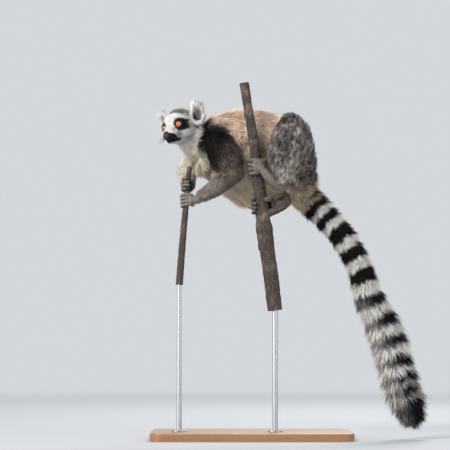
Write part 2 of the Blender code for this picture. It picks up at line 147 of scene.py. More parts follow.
def finished(obj):  # the object's mesh with its modifiers applied
    bpy.context.view_layer.update()
    mesh = bpy.data.meshes.new_from_object(obj.evaluated_get(bpy.context.evaluated_depsgraph_get()))
    bpy.data.objects.remove(obj)
    return mesh


def edgesOf(verts):
    return list(dict.fromkeys(edge for vert in verts for edge in vert.link_edges))


def toMesh(form, name="form"):
    mesh = bpy.data.meshes.new(name)
    form.to_mesh(mesh)
    form.free()
    return mesh


def settled(form):  # its mesh in a fixed order, as some operators number their parts anew each run
    form.verts.index_update()
    for parts in (form.edges, form.faces):
        ordered = sorted(parts, key=lambda part: sorted(vert.index for vert in part.verts))
        for rank, part in enumerate(ordered):
            part.index = rank
        parts.sort()
    mesh = toMesh(form)
    ends = np.empty(len(mesh.edges) * 2, np.int32)
    mesh.edges.foreach_get("vertices", ends)
    mesh.edges.foreach_set("vertices", np.sort(ends.reshape(-1, 2), axis=1).ravel())
    mesh.update()
    return mesh


def tube(stations, sides=6, place=None):
    curve = bpy.data.curves.new("tube", "CURVE")
    curve.dimensions = "3D"
    curve.bevel_depth = 1
    curve.bevel_resolution = sides
    curve.resolution_u = 8
    curve.use_fill_caps = True
    spline = curve.splines.new("BEZIER")
    spline.bezier_points.add(len(stations) - 1)
    for knot, (point, radius) in zip(spline.bezier_points, stations):
        knot.co = at(point) if place is None else place @ Vector(point)
        knot.radius = radius * mm
        knot.handle_left_type = knot.handle_right_type = "AUTO"
    mesh = finished(newObject("tube", curve))
    welded = bmesh.new()
    welded.from_mesh(mesh)
    bmesh.ops.remove_doubles(welded, verts=welded.verts, dist=0.00001)
    bmesh.ops.recalc_face_normals(welded, faces=welded.faces)
    return toMesh(welded)


def ball(centre, radii, place=None, turn=None):
    form = bmesh.new()
    bmesh.ops.create_uvsphere(form, u_segments=28, v_segments=18, radius=1)
    shape = Matrix.Translation(centre) @ (turn or Matrix()) @ Matrix.Diagonal((*radii, 1))
    bmesh.ops.transform(form, matrix=(place or Matrix.Scale(mm, 4)) @ shape, verts=form.verts)
    return settled(form)


def ringLoft(rings):  # closed form through rings of (matrix of a unit circle)
    form = bmesh.new()
    previous = first = None
    for matrix in rings:
        verts = bmesh.ops.create_circle(form, segments=36, radius=1, matrix=matrix)["verts"]
        edges = edgesOf(verts)
        if previous:
            bmesh.ops.bridge_loops(form, edges=previous + edges)
        first = first or edges
        previous = edges
    bmesh.ops.edgeloop_fill(form, edges=first)
    bmesh.ops.edgeloop_fill(form, edges=previous)
    bmesh.ops.recalc_face_normals(form, faces=form.faces)
    return settled(form)


def fuse(forms, voxel, smoothing):  # one smooth closed mesh from overlapping ones
    joined = bmesh.new()
    for form in forms:
        joined.from_mesh(form)
    lump = newObject("lump", toMesh(joined))
    remesh = lump.modifiers.new("fuse", "REMESH")
    remesh.mode = "VOXEL"
    remesh.voxel_size = voxel * mm
    smooth = lump.modifiers.new("smooth", "SMOOTH")
    smooth.factor = 0.5
    smooth.iterations = smoothing
    return finished(lump)


def united(mesh, other):
    a, b = newObject("a", mesh), newObject("b", other)
    union = a.modifiers.new("union", "BOOLEAN")
    union.object = b
    union.operation = "UNION"
    made = finished(a)
    bpy.data.objects.remove(b)
    return made


def coords(mesh):
    flat = np.empty(len(mesh.vertices) * 3)
    mesh.vertices.foreach_get("co", flat)
    return flat.reshape(-1, 3)


def setCoords(mesh, points):
    mesh.vertices.foreach_set("co", np.ascontiguousarray(points, dtype=np.float32).ravel())
    mesh.update()


def vertNormals(mesh):
    flat = np.empty(len(mesh.vertices) * 3, dtype=np.float32)
    mesh.vertex_normals.foreach_get("vector", flat)
    return flat.reshape(-1, 3).astype(float)


def unit(vectors):
    return vectors / np.maximum(np.linalg.norm(vectors, axis=-1, keepdims=True), 1e-9)


def lengths(vectors):
    return np.linalg.norm(vectors, axis=-1)


def ramp(value, low, high):  # smooth step from 0 at low to 1 at high
    t = capped((value - low) / (high - low))
    return t * t * (3 - 2 * t)


def fade(value, low, high):  # smooth step from 1 at low to 0 at high
    return 1 - ramp(value, low, high)


def capped(value):  # kept between 0 and 1
    return np.clip(value, 0, 1)


def blend(a, b, share):
    if np.ndim(share) and max(np.ndim(a), np.ndim(b)) > np.ndim(share):
        share = share[:, None]
    return a * (1 - share) + b * share


def wander(points, scale, seed):  # smooth noise from -1 to 1, for arrays
    draw = np.random.default_rng(seed)
    total = np.zeros(len(points))
    for octave in range(5):
        wave = draw.normal(size=3) / scale * (1 + 0.35 * octave)
        swell = np.sin(points @ wave + draw.uniform(0, 6.28))
        total += swell * np.sin(points @ draw.normal(size=3) / scale + draw.uniform(0, 6.28))
    return total / 2.2


sunk = 0.8  # share of the coat's depth by which the skin lies inside the solids
weave = {"body": (3.1, 6), "head": (1.12, 8), "grip": (1.2, 3)}  # voxel size, rounds of smoothing


def underCoat(stations):  # the flesh under the coat, as (point, radius)
    return [(point, radius - sunk * depth) for point, radius, depth in stations]


def trunkForm():
    upright = Matrix.Rotation(math.pi / 2, 4, "Y")
    rings = []
    for x, z, halfWidth, halfHeight, depth in trunk["sections"]:
        size = Matrix.Diagonal(((halfHeight - sunk * depth) * mm, (halfWidth - sunk * depth) * mm, 1, 1))
        rings.append(Matrix.Translation(at((x, trunk["middle"], z))) @ upright @ size)
    return ringLoft(rings)


hollow = [  # fills the bend of the left leg
    ((90, -80, 668), 13), ((83, -84, 630), 15), ((82, -80, 590), 15), ((84, -72, 566), 13),
]


def bodySkin():
    forms = [trunkForm(), ball(*trunk["breast"]), tube(hollow)]
    for stations in body.values():
        forms.append(tube(underCoat(stations)))
        point, radius, depth = stations[0]
        forms.append(ball(point, (radius - sunk * depth,) * 3))
    return fuse(forms, *weave["body"])


head = {  # the skull with its skin, in head millimetres: forward, left, up
    "balls": [
        ((-8, 0, 8), (36, 29, 31)), ((14, 0, 12), (22, 25, 20.5)), ((4, 0, -14), (30, 19, 17)),
        ((10, 17, -9), (22, 12, 14)), ((10, -17, -9), (22, 12, 14)),
        ((20.5, 17, 8.5), (11.5, 11.5, 12)), ((20.5, -17, 8.5), (11.5, 11.5, 12)),
    ],
    "muzzle": [
        ((20, 0, 1), 19), ((34, 0, -5), 15.5), ((45, 0, -9.5), 12.8), ((54, 0, -12.6), 10.4),
        ((58, 0, -13.8), 8.6),
    ],
    "jaw": [((14, 0, -18), 13), ((34, 0, -20), 9.8), ((45, 0, -21.5), 7.8), ((53, 0, -21.8), 5.8)],
    "throat": [((-8, 0, -10), 22), ((-30, 4, -28), 22)],
    "earRoot": [((-18, 18, 10), 14), ((-27, 29, 12), 9.5), ((-31, 35, 13), 7)],
}
strokes = [  # centre, reach, push outwards; the left half is mirrored
    ((27, 9, 15), 7, 1.2), ((16, 22, 21), 9, 1.4),  # brow ridge
    ((31, 13, 3), 5, -1.8), ((35, 10, -1), 6, -1.0),  # hollow below the inner corner
    ((24, 25, -3), 7, 1.0),  # cheek bone
    ((40, 0, 7), 7, -0.8), ((51, 0, 2), 6, 0.6),  # bridge of the muzzle
    ((51, 9, -15.5), 5.5, 1.2), ((43, 12, -15.5), 6, 0.9),  # whisker pads
    ((47, 0, -30), 6, 0.8),  # chin
]
mouth = {
    "line": [
        (61, 0, -20), (57.5, 5.6, -19.4), (50, 9.4, -18.8), (42, 12, -18.6), (35, 14.6, -19.2),
        (31, 16, -20.6),
    ],
    "cut": (1.7, 1.5),  # depth, half width
    "lips": (0.3, 3.2, 1.4),  # height, distance from the cut, half width
}


def nearLine(points, line):  # distance of each point to a polyline
    best = np.full(len(points), 1e9)
    for a, b in zip(line, line[1:]):
        a, b = np.array(a, float), np.array(b, float)
        t = capped((points - a) @ (b - a) / ((b - a) @ (b - a)))
        best = np.minimum(best, lengths(points - a - t[:, None] * (b - a)))
    return best


def headSkin():
    forms = [ball(centre, radii, headPlace) for centre, radii in head["balls"]]
    forms += [tube(head[line], 8, headPlace) for line in ("muzzle", "jaw", "throat")]
    for side in (1, -1):
        earRoot = [((x, side * y, z), radius) for (x, y, z), radius in head["earRoot"]]
        forms.append(tube(earRoot, 8, headPlace))
    mesh = fuse(forms, *weave["head"])
    points, normals = coords(mesh), vertNormals(mesh)
    half = foldedOver(seenFrom(headPlace, points))
    push = np.zeros(len(points))
    for centre, reach, amount in strokes:
        push += amount * np.exp(-((lengths(half - np.array(centre)) / reach) ** 2))
    gap = nearLine(half, mouth["line"])
    (depth, width), (height, away, breadth) = mouth["cut"], mouth["lips"]
    push += -depth * np.exp(-((gap / width) ** 2)) + height * np.exp(-(((gap - away) / breadth) ** 2))
    toEye = lengths(half - np.array(headPose["eye"]))  # the socket leaves room for the eyeball
    inside = np.clip(headPose["eyeRadius"] - 0.6 - toEye, 0, None)
    setCoords(mesh, points + normals * (push - inside)[:, None] * mm)
    return mesh


print("body and head skin")

ear = {
    "centre": (-20, 41, 16), "facing": (0.74, 0.62, 0.1), "up": (-0.06, 0.2, 1),
    "height": 19, "width": 14, "cup": 8.5, "wall": 1.7,
}


def earFrame(side):  # x out of the cup, z to its top
    x, y, z = ear["centre"]
    facing = Vector((ear["facing"][0], side * ear["facing"][1], ear["facing"][2])).normalized()
    up = Vector((ear["up"][0], side * ear["up"][1], ear["up"][2]))
    across = up.cross(facing).normalized()
    return Matrix.Translation((x, side * y, z)) @ turnTo(facing, across, facing.cross(across))


def earSkin(side):  # a rounded cup, given a wall
    form = bmesh.new()
    bmesh.ops.create_grid(form, x_segments=26, y_segments=32, size=1)
    for vert in form.verts:
        a, b = vert.co.x, vert.co.y
        across, rise = a * math.sqrt(1 - b * b / 2), b * math.sqrt(1 - a * a / 2)
        rim = across * across + rise * rise
        hollow = ear["cup"] * (1 - rim) * (1 - 0.3 * rise)
        rib = 0.45 * math.sin(rise * 9) * (1 - rim)
        curl = 1.5 * rim * rim * (1 + rise)
        vert.co = (curl - hollow + rib, across * ear["width"] * (1 - 0.16 * rise), rise * ear["height"])
    bmesh.ops.recalc_face_normals(form, faces=form.faces)
    bmesh.ops.solidify(form, geom=form.faces[:], thickness=ear["wall"])
    bmesh.ops.recalc_face_normals(form, faces=form.faces)
    bmesh.ops.transform(form, matrix=headPlace @ earFrame(side), verts=form.verts)
    return settled(form)


def eyeFrame(side):  # x along the gaze, y to the outer corner, z up
    x, y, z = headPose["eye"]
    splay = math.radians(headPose["splay"])
    gaze = Vector((math.cos(splay), side * math.sin(splay), 0.04)).normalized()
    outer = Vector((0, 0, 1)).cross(gaze).normalized() * side
    axes = turnTo(gaze, outer, gaze.cross(outer) * side)
    return Matrix.Translation((x, side * y, z)) @ axes


lids = {
    "opening": (44, 31, 36),  # degrees from the gaze: to the corners, up, down
    "rings": [  # degrees past the opening, radius
        (-1, 9.6), (-1.5, 10.0), (0.5, 10.5), (5, 10.85), (12, 10.9), (26, 10.6), (50, 9.6), (50, 8.9),
        (18, 8.9),
    ],
}


def lidSkin(side):  # a closed rim round the eyeball, open in front
    form = bmesh.new()
    corner, up, down = lids["opening"]
    loops = []
    for extra, radius in lids["rings"]:
        verts = bmesh.ops.create_circle(form, segments=48, radius=1)["verts"]
        for vert in verts:
            turn = math.atan2(vert.co.y, vert.co.x)
            fold = up if math.sin(turn) > 0 else down
            angle = math.radians(math.hypot(corner * math.cos(turn), fold * math.sin(turn)) + extra)
            aside, rise = math.cos(turn) * math.sin(angle), math.sin(turn) * math.sin(angle)
            vert.co = Vector((math.cos(angle), aside, rise)) * radius
        loops.append(edgesOf(verts))
    for near, far in zip(loops, loops[1:] + loops[:1]):
        bmesh.ops.bridge_loops(form, edges=near + far)
    bmesh.ops.transform(form, matrix=headPlace @ eyeFrame(side), verts=form.verts)
    bmesh.ops.recalc_face_normals(form, faces=form.faces)
    return settled(form)


grips = {  # palm: distance from the stem's axis, half width, half thickness; digit: distance, radius;
    # arcs and thumb: degrees round the stem, counted from the palm's side; thumb: offset, start, end, size
    "handLeft": {
        "root": [((-104, -44, 535), 10.5), ((-121, -37, 526), 9.5)],
        "centre": (-143, -28.5, 523), "axis": (0.03, -0.3, -1), "palmSide": (1, -0.3, 0),
        "palm": (13.2, 14, 5.8), "digit": (10.2, 3.2), "spacing": 7.8,
        "arcs": [(5, 190), (5, 222), (5, 214), (5, 186)], "thumb": (-9, -15, -138, 1.12),
    },
    "handRight": {
        "root": [((-138, 34, 564), 9.5), ((-138, 16, 558), 9)],
        "centre": (-141, -17, 560), "axis": (0.06, 0.24, 1), "palmSide": (0.1, 1, 0),
        "palm": (12.8, 14, 5.8), "digit": (9.9, 3.2), "spacing": 7.8,
        "arcs": [(5, 178), (5, 208), (5, 202), (5, 176)], "thumb": (9, -15, -132, 1.12),
    },
    "footLeft": {
        "root": [((65, -93, 570), 10.5), ((68, -85, 552), 10.8), ((44, -87, 566), 11)],
        "centre": (12, -55, 596), "axis": (0.05, 0, -1), "palmSide": (0.25, -1, 0),
        "palm": (20.8, 16.5, 6.8), "digit": (16.6, 3.9), "spacing": 9.4,
        "arcs": [(8, 172), (8, 200), (8, 206), (8, 186)], "thumb": (-10, -22, -148, 1.3),
    },
    "footRight": {
        "root": [((72, -2, 534), 9.5), ((76, -9, 523), 10.5), ((60, -24, 514), 10.8)],
        "centre": (22.5, -55, 511), "axis": (-0.05, 0, 1), "palmSide": (0.7, 0.72, 0),
        "palm": (23, 15.5, 6.8), "digit": (19.2, 3.9), "spacing": 9.2,
        "arcs": [(8, 164), (8, 186), (8, 190), (8, 170)], "thumb": (11, -22, -120, 1.3),
    },
}
knuckles = [1.05, 0.98, 0.9, 1.06, 0.9, 0.86, 1.0, 0.88, 0.98, 1.0, 0.7]  # swell along a digit, palm to tip


def gripFrame(grip):
    axis = Vector(grip["axis"]).normalized()
    side = Vector(grip["palmSide"])
    return axis, (side - axis * side.dot(axis)).normalized()


def digitPaths(grip):  # each digit's stations, and the direction away from the stem at its tip
    axis, side = gripFrame(grip)
    away, radius = grip["digit"]
    arcs = [(grip["spacing"] * (i - 1.5), start, end, 1) for i, (start, end) in enumerate(grip["arcs"])]
    paths = []
    for offset, start, end, size in [*arcs, grip["thumb"]]:
        path = []
        for step, swell in enumerate(knuckles):
            share = step / (len(knuckles) - 1)
            outward = Matrix.Rotation(math.radians(start + (end - start) * share), 3, axis) @ side
            reach = away + (grip["palm"][0] - away) * max(0, 1 - share * 4) + (size - 1) * radius
            point = Vector(grip["centre"]) + axis * offset * (1 + 0.06 * share) + outward * reach
            path.append((point, radius * swell * size))
        paths.append((path, outward, (path[-1][0] - path[-2][0]).normalized(), axis))
    return paths


def gripSkin(grip):
    axis, side = gripFrame(grip)
    reach, halfWidth, halfThickness = grip["palm"]
    palm = Vector(grip["centre"]) + side * reach
    radii = (halfThickness, halfWidth * 0.92, halfWidth)
    forms = [ball(palm, radii, None, turnTo(side, axis.cross(side), axis))]
    forms.append(tube([*grip["root"], (palm, halfThickness * 1.05)]))
    forms += [tube(path, 4) for path, _, _, _ in digitPaths(grip)]
    return fuse(forms, *weave["grip"])


nose = {"centre": (60, 0, -12.2), "radii": (5, 7, 5)}
skinLabels = ["body", "head", "earLeft", "earRight", "lidLeft", "lidRight", *grips]


def inOrder(mesh):  # the same mesh in a fixed order: the union numbers its result anew each run
    points = coords(mesh)
    order = np.lexsort(points.T)
    moved = np.argsort(order).tolist()
    faces = []
    for polygon in mesh.polygons:
        ring = [moved[vert] for vert in polygon.vertices]
        first = ring.index(min(ring))
        faces.append(ring[first:] + ring[:first])
    made = bpy.data.meshes.new("inOrder")
    made.from_pydata(points[order].tolist(), [], sorted(faces))
    return made


def skinMesh():  # the whole skin, with the part that each vertex came from
    parts = [bodySkin(), headSkin(), earSkin(1), earSkin(-1), lidSkin(1), lidSkin(-1)]
    parts += [gripSkin(grip) for grip in grips.values()]
    tree = KDTree(sum(len(part.vertices) for part in parts))
    source = []
    for label, part in enumerate(parts):
        for vert in part.vertices:
            tree.insert(vert.co, len(source))
            source.append(label)
    tree.balance()
    skin = parts[0]
    for part in parts[1:]:
        skin = united(skin, part)
    skin = inOrder(skin)
    labels = np.array([source[tree.find(vert.co)[1]] for vert in skin.vertices])
    return skin, labels


skinForm, skinLabel = skinMesh()
print("skin", len(skinForm.polygons), "faces")
skin = newObject("skin", skinForm)
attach(skin, "root")
fleshNodes = [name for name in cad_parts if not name.startswith(("eye", "perch", "stand"))]
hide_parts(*fleshNodes)

# lie of the coat: every limb, the trunk, the tail and each digit is a chain with its own direction


def chainTable():  # chains of (point, flesh radius, coat depth, radius with coat)
    table = {}
    for name, stations in body.items():
        table[name] = [(point, radius - sunk * depth, depth, radius) for point, radius, depth in stations]
    for name, grip in grips.items():
        reach, _, thickness = grip["palm"]
        palm = Vector(grip["centre"]) + gripFrame(grip)[1] * reach
        wrist = [(point, radius, 2.2, radius + 2) for point, radius in grip["root"]]
        table[name + "Palm"] = [*wrist, (palm, thickness + 3, 1.8, thickness + 5)]
        for number, (path, _, _, _) in enumerate(digitPaths(grip)):
            key, spaced = name + "Digit" + str(number), (*path[::3], path[-1])
            table[key] = [(point, radius, 1.5, radius + 1) for point, radius in spaced]
    return table


chains = chainTable()
chainNames = ["trunk", *chains]


# for each point: distance over flesh radius, share along, direction, coat depth, outer over flesh radius
def nearChain(points, stations):
    near = np.full(len(points), 1e9)
    share, depth, spread = np.zeros(len(points)), np.zeros(len(points)), np.ones(len(points))
    heading = np.zeros_like(points)
    for index, (start, end) in enumerate(zip(stations, stations[1:])):
        a, b = np.array(start[0], float), np.array(end[0], float)
        t = capped((points - a) @ (b - a) / ((b - a) @ (b - a)))
        radius = start[1] + (end[1] - start[1]) * t
        away = lengths(points - a - t[:, None] * (b - a)) / radius
        closer = away < near
        near[closer] = away[closer]
        share[closer] = ((index + t) / (len(stations) - 1))[closer]
        depth[closer] = (start[2] + (end[2] - start[2]) * t)[closer]
        spread[closer] = ((start[3] + (end[3] - start[3]) * t) / radius)[closer]
        heading[closer] = unit(b - a)
    return near, share, heading, depth, spread


def nearTrunk(points):
    x, height, halfWidth, halfHeight, depth = np.array(trunk["sections"], float).T
    along = np.clip(points[:, 0], x[0], x[-1])
    sizes = (height, halfWidth, halfHeight, depth)
    middle, wide, high, coat = (np.interp(along, x, values) for values in sizes)
    aside, above = points[:, 1] - trunk["middle"], points[:, 2] - middle
    away = np.hypot(aside / (wide - sunk * coat), above / (high - sunk * coat))
    beyond = np.abs(points[:, 0] - along) / 30
    slope = np.interp(along, x, np.gradient(height, x)) - 0.25
    heading = unit(np.stack([np.ones(len(points)), np.zeros(len(points)), slope], 1))
    return away + beyond, (along - x[0]) / (x[-1] - x[0]), heading, coat, wide / (wide - sunk * coat)


class Lie:  # how the coat lies at surface points in millimetres: direction, depth and region
    def __init__(self, points, normals, labels):
        self.points, self.normals, self.labels = points, normals, labels
        self.local = seenFrom(headPlace, points * mm)
        self.folded = foldedOver(self.local)
        self.skull, self.ear = self.on("head"), self.on("earLeft", "earRight")
        self.lid = self.on("lidLeft", "lidRight")
        self.onHead = self.skull | self.ear | self.lid
        self.gripped = self.on(*grips).astype(float)
        self.eyeGap = lengths(self.folded - np.array(headPose["eye"]))
        self.ahead = np.zeros(len(points))  # how far down the tail a tuft is seen from its root
        self.headness = self.nearHead()
        flow = blend(self.alongChains(), self.fromNose(), self.headness)
        self.earLocal = np.zeros_like(points)
        self.alongEars(flow)
        flow -= normals * np.sum(flow * normals, axis=1, keepdims=True)
        self.flow = unit(flow)
        self.depth = blend(self.depth, self.headDepth(), self.headness)
        self.spread = blend(self.spread, 1.15, self.headness)

    def on(self, *names):  # whether each point came from one of these parts of the skin
        return np.isin(self.labels, [skinLabels.index(name) for name in names])

    def alongChains(self):  # direction down the nearest chains, whose weights, shares and depths are kept
        fields = [nearTrunk(self.points)] + [nearChain(self.points, chains[name]) for name in chains]
        for name, field in zip(chainNames, fields):
            if name.startswith(("upperArm", "thigh")):  # the trunk leads at the shoulders and hips
                field[0][:] += 0.45 * fade(field[1], 0.05, 0.4)
            owner = next((grip for grip in grips if name.startswith(grip)), None)
            if owner:  # digits count only on their own hand or foot
                field[0][~self.on(owner)] += 9
        near = np.stack([field[0] for field in fields], 1)
        weight = np.exp(-7 * (near - near.min(1, keepdims=True)))
        weight /= weight.sum(1, keepdims=True)
        self.weight = {name: weight[:, i] for i, name in enumerate(chainNames)}
        self.share = {name: fields[i][1] for i, name in enumerate(chainNames)}
        self.depth = sum(weight[:, i] * field[3] for i, field in enumerate(fields))
        self.spread = sum(weight[:, i] * field[4] for i, field in enumerate(fields))
        flow = sum(weight[:, i, None] * field[2] for i, field in enumerate(fields))
        flow[:, 2] -= 0.25 * (1 - self.gripped)  # the coat hangs a little
        return unit(flow)

    def nearHead(self):  # 1 on the head, 0 on the body
        egg = (self.local - np.array([6, 0, 0])) / np.array([1.25, 1, 1.05])
        headness = np.maximum(fade(lengths(egg), 36, 56), ramp(self.local[:, 0], 10, 24) * self.onHead)
        return np.where(self.onHead, np.maximum(headness, 0.35), headness)

    def fromNose(self):  # back from the nose, and round the eyes
        flow = unit(self.local - np.array([57, 0, -9])) + np.array([-0.35, 0, -0.2])
        ones, gap = np.ones(len(self.points)), self.eyeGap
        eye = np.array(headPose["eye"]) * np.stack([ones, np.sign(self.local[:, 1]), ones], 1)
        flow += (self.local - eye) / gap[:, None] * (2.2 * np.exp(-(((gap - 10) / 6) ** 2)))[:, None]
        return unit(flow @ np.array(headPlace)[:3, :3].T)

    def alongEars(self, flow):  # up the cup and out past its rim, down at the lower back
        for name, side in (("earLeft", 1), ("earRight", -1)):
            mine, place = self.on(name), headPlace @ earFrame(side)
            self.earLocal[mine] = seenFrom(place, self.points[mine] * mm)
            axes = np.array(place)[:3, :3]
            outside = ramp(-(self.normals @ unit(axes[:, 0])), -0.2, 0.3) * ramp(-self.earLocal[:, 2], 5, 12)
            up, down = unit(axes @ np.array([0.42, 0, 1])), unit(axes @ np.array([-0.7, 0, -0.7]))
            flow[mine] = blend(up[None], down[None], outside)[mine]

    def headDepth(self):
        x, _, z = self.local.T
        depth = 6.8 + 2.2 * ramp(-z, 0, 16) * fade(x, 5, 22)
        depth = blend(depth, 3.2, ramp(x, 4, 24))
        depth = blend(depth, 1.2, ramp(x, 28, 44))
        depth = blend(depth, 0.6, ramp(x, 50, 56))
        earGap = lengths(self.folded - np.array([-14, 34, 12]))
        depth = blend(depth, 2.2, fade(earGap, 14, 21) * ramp(x, -28, -20))
        return blend(depth, 1.2, fade(self.eyeGap, 12.5, 19))


def trunkHeight(points):  # -1 at the belly, 1 on the back
    x, height, _, halfHeight, _ = np.array(trunk["sections"], float).T
    along = np.clip(points[:, 0], x[0], x[-1])
    return (points[:, 2] - np.interp(along, x, height)) / np.interp(along, x, halfHeight)


colours = {
    "rufous": (246, 219, 197), "rufousDeep": (220, 184, 160), "flank": (180, 162, 142),
    "belly": (232, 214, 186), "chest": (246, 233, 208), "shoulder": (36, 31, 31),
    "armUpper": (84, 71, 64), "armLower": (132, 122, 116),
    "armRight": (230, 222, 208), "thigh": (124, 115, 112), "knee": (48, 43, 42), "rump": (128, 110, 92),
    "inner": (246, 232, 212), "white": (228, 226, 222), "black": (15, 14, 15), "crown": (104, 95, 94),
    "cheek": (226, 216, 198), "muzzleShadowGrey": (128, 132, 142), "patchGrey": (80, 74, 72), "hand": (134, 124, 116),
    "tailBlack": (14, 13, 14), "tailWhite": (243, 239, 233), "tailGrey": (122, 114, 110),
    "tailRoot": (156, 134, 104),
    "earGrey": (88, 83, 83), "leather": (15, 14, 14),
}
shades = {name: np.array(paint(*value)) for name, value in colours.items()}
tailBands = [  # starts and ends of the dark bands, as shares of the tail's length
    (0.042, 0.06), (0.072, 0.112), (0.134, 0.172), (0.202, 0.26), (0.292, 0.346), (0.386, 0.442),
    (0.488, 0.54), (0.58, 0.626), (0.662, 0.706), (0.742, 0.786), (0.812, 0.844), (0.866, 0.892),
    (0.918, 1.2),
]
tailRun = np.array([station[0] for station in chains["tail"]], float)
tailRun = np.concatenate([[0], np.cumsum(lengths(np.diff(tailRun, axis=0)))])


def markings(lie):  # colour, and how strongly it is ticked with light and dark hairs
    ragged = wander(lie.points, 9, 3)
    height = trunkHeight(lie.points) + 0.09 * ragged
    dusky = blend(shades["shoulder"][None], shades["armUpper"], ramp(lie.points[:, 0] + 5 * ragged, -94, -66))
    coat = trunkColour(lie, ragged, height, dusky)
    coat = withArms(coat, lie, ragged, height, dusky)
    coat, tick = withLegs(coat, lie, ragged)
    coat = withTail(coat, lie, ragged)
    coat = withNeckAndHead(coat, lie, ragged, height)
    coat = blend(coat, shades["hand"] * (0.8 + 0.3 * (lie.points[:, 0] < -100))[:, None], lie.gripped)
    tick = np.where(lie.gripped > 0, 0.5, tick)
    return coat, tick * (1 - capped(lie.headness * 1.5) * 0.7)


def breastLine(lie, ragged):  # below 0 in front of the line from the chest to the elbow
    x, _, z = lie.points.T
    return x + 127 - 0.6 * (635 - z).clip(0, 90) + 3 * ragged


def trunkColour(lie, ragged, height, dusky):
    x, _, z = lie.points.T
    broad = wander(lie.points, 30, 5)
    pale = ramp(x, -60, -30) * fade(x, 10, 40) * ramp(-height, -0.25, 0.05)
    coat = blend(shades["flank"][None], shades["belly"], np.maximum(ramp(-height, 0.0, 0.5), pale))
    deeper = 0.5 + 0.5 * np.clip(broad + 0.5 * ragged, -1, 1)
    coat = blend(coat, blend(shades["rufous"][None], shades["rufousDeep"], deeper), ramp(height, 0.2, 0.46))
    front = fade(x + 1.35 * (z - 690) + 9 * ragged, -112, -62)  # the dark falls back towards the elbow
    coat = blend(coat, dusky, front * ramp(z + 6 * ragged, 592, 612) * fade(x, -40, -25))
    chest = ramp(-x, 52, 66) * fade(z, 630, 648) * fade(breastLine(lie, ragged), -4, 4)
    return blend(coat, shades["chest"], chest)


def withArms(coat, lie, ragged, height, dusky):
    n, w = lie.normals, lie.weight
    lower = blend(shades["armUpper"][None], shades["armLower"], ramp(lie.share["forearmLeft"], 0.05, 0.5))
    inner = ramp(n[:, 1] * 0.5 - n[:, 2], 0.6, 1.05)
    upper = capped(w["upperArmLeft"] * 1.6) * fade(height, 0.45, 0.7) * ramp(breastLine(lie, ragged), -8, 2)
    coat = blend(coat, blend(dusky, shades["flank"], inner * 0.8), upper)
    coat = blend(coat, blend(lower, shades["flank"], inner * 0.7), capped(w["forearmLeft"] * 1.3))
    outside = ramp(n[:, 1] + 0.3 * n[:, 2], 0.1, 0.7)
    farArm = blend(shades["armRight"][None], shades["armUpper"], outside)
    for name in ("upperArmRight", "forearmRight"):
        coat = blend(coat, farArm, capped(w[name] * 1.4))
    return coat


rumpPatches = {  # shade: centre, reach, how sharp its edge is, strength
    "inner": ((87, -100, 560), (24, 60, 54), 4, 1),
    "rump": ((118, -6, 590), (26, 40, 46), 2, 0.5),
}


def withLegs(coat, lie, ragged):  # grizzled thighs and shanks, pale on the inside; also the ticking
    p, n = lie.points, lie.normals
    tick = np.zeros(len(p)) + 0.35
    for side, sign in (("Left", -1), ("Right", 1)):
        thigh, shank = lie.weight["thigh" + side], lie.weight["shank" + side]
        kneeShare = ramp(lie.share["thigh" + side], 0.72, 1) * (1 if sign < 0 else 0.4)
        kneeTop = kneeShare * ramp(n[:, 2] + 0.4 * ragged, 0.0, 0.7)
        limb = blend(shades["thigh"][None], shades["knee"], kneeTop)
        fleck = wander(p, 4.5, 31) * 0.6 + wander(p, 9, 32) * 0.5
        limb = limb * (0.95 + 0.75 * fleck).clip(0.3, 2)[:, None]
        limb = blend(limb, shades["inner"], ramp(n[:, 1] * -sign, 0.3, 0.8))
        coat = blend(coat, limb, capped(thigh * 1.3))
        calf = shades["thigh"] * (0.82 + 0.6 * fleck).clip(0.3, 1.8)[:, None]
        calf = blend(calf, shades["knee"], fade(lie.share["shank" + side], 0.0, 0.16) * ramp(n[:, 2], 0, 0.6))
        calf = blend(calf, shades["inner"], ramp(n[:, 1] * -sign, 0.5, 0.9) * 0.6)
        coat = blend(coat, calf, capped(shank * 1.3))
        tick = np.maximum(tick, 0.95 * capped((thigh + shank) * 1.3))
    tick = np.maximum(tick, 0.5 * capped((lie.weight["upperArmLeft"] + lie.weight["forearmLeft"]) * 1.3))
    for name, (centre, reach, power, strength) in rumpPatches.items():
        away = lengths((p - np.array(centre)) / np.array(reach))
        coat = blend(coat, shades[name], np.exp(-(away ** power)) * strength)
    return coat, tick


def withTail(coat, lie, ragged):
    n = lie.normals
    stations = np.arange(len(tailRun))
    t = np.interp(lie.share["tail"] * stations[-1], stations, tailRun / tailRun[-1])
    t = t + 0.004 * ragged + lie.ahead
    below = ramp(-0.9 * n[:, 0] - 0.35 * n[:, 2], -0.3, 0.8)  # the lower bands fade and narrow underneath
    faded = below * ramp(t, 0.44, 0.6)
    dusk = np.maximum(ramp(t, 0.76, 0.9) * (1 - 0.6 * below), ramp(t, 0.88, 0.95))
    ringed = blend(shades["tailWhite"][None], shades["tailGrey"], dusk * 0.9)
    dark = np.zeros(len(n))
    for number, (start, end) in enumerate(tailBands):
        inner, outer = start + 0.006 * faded, end - 0.006 * faded
        band = ramp(t, inner - 0.003, inner + 0.003) * fade(t, outer - 0.003, outer + 0.003)
        dark = np.maximum(dark, band * (1 if number else 1 - below))  # the first band is open underneath
    ringed = blend(ringed, shades["tailBlack"], dark * (1 - 0.35 * faded - 0.25 * below * ramp(t, 0.9, 0.93)))
    tailRoot = blend(shades["tailRoot"][None], shades["inner"], ramp(-n[:, 0] - n[:, 2], 0.5, 1.2) * 0.5)
    ringed = blend(tailRoot, ringed, np.maximum(ramp(t, 0.1, 0.13), dark))
    return blend(coat, ringed, capped(lie.weight["tail"] * 1.5) * ramp(t, -0.01, 0.04))


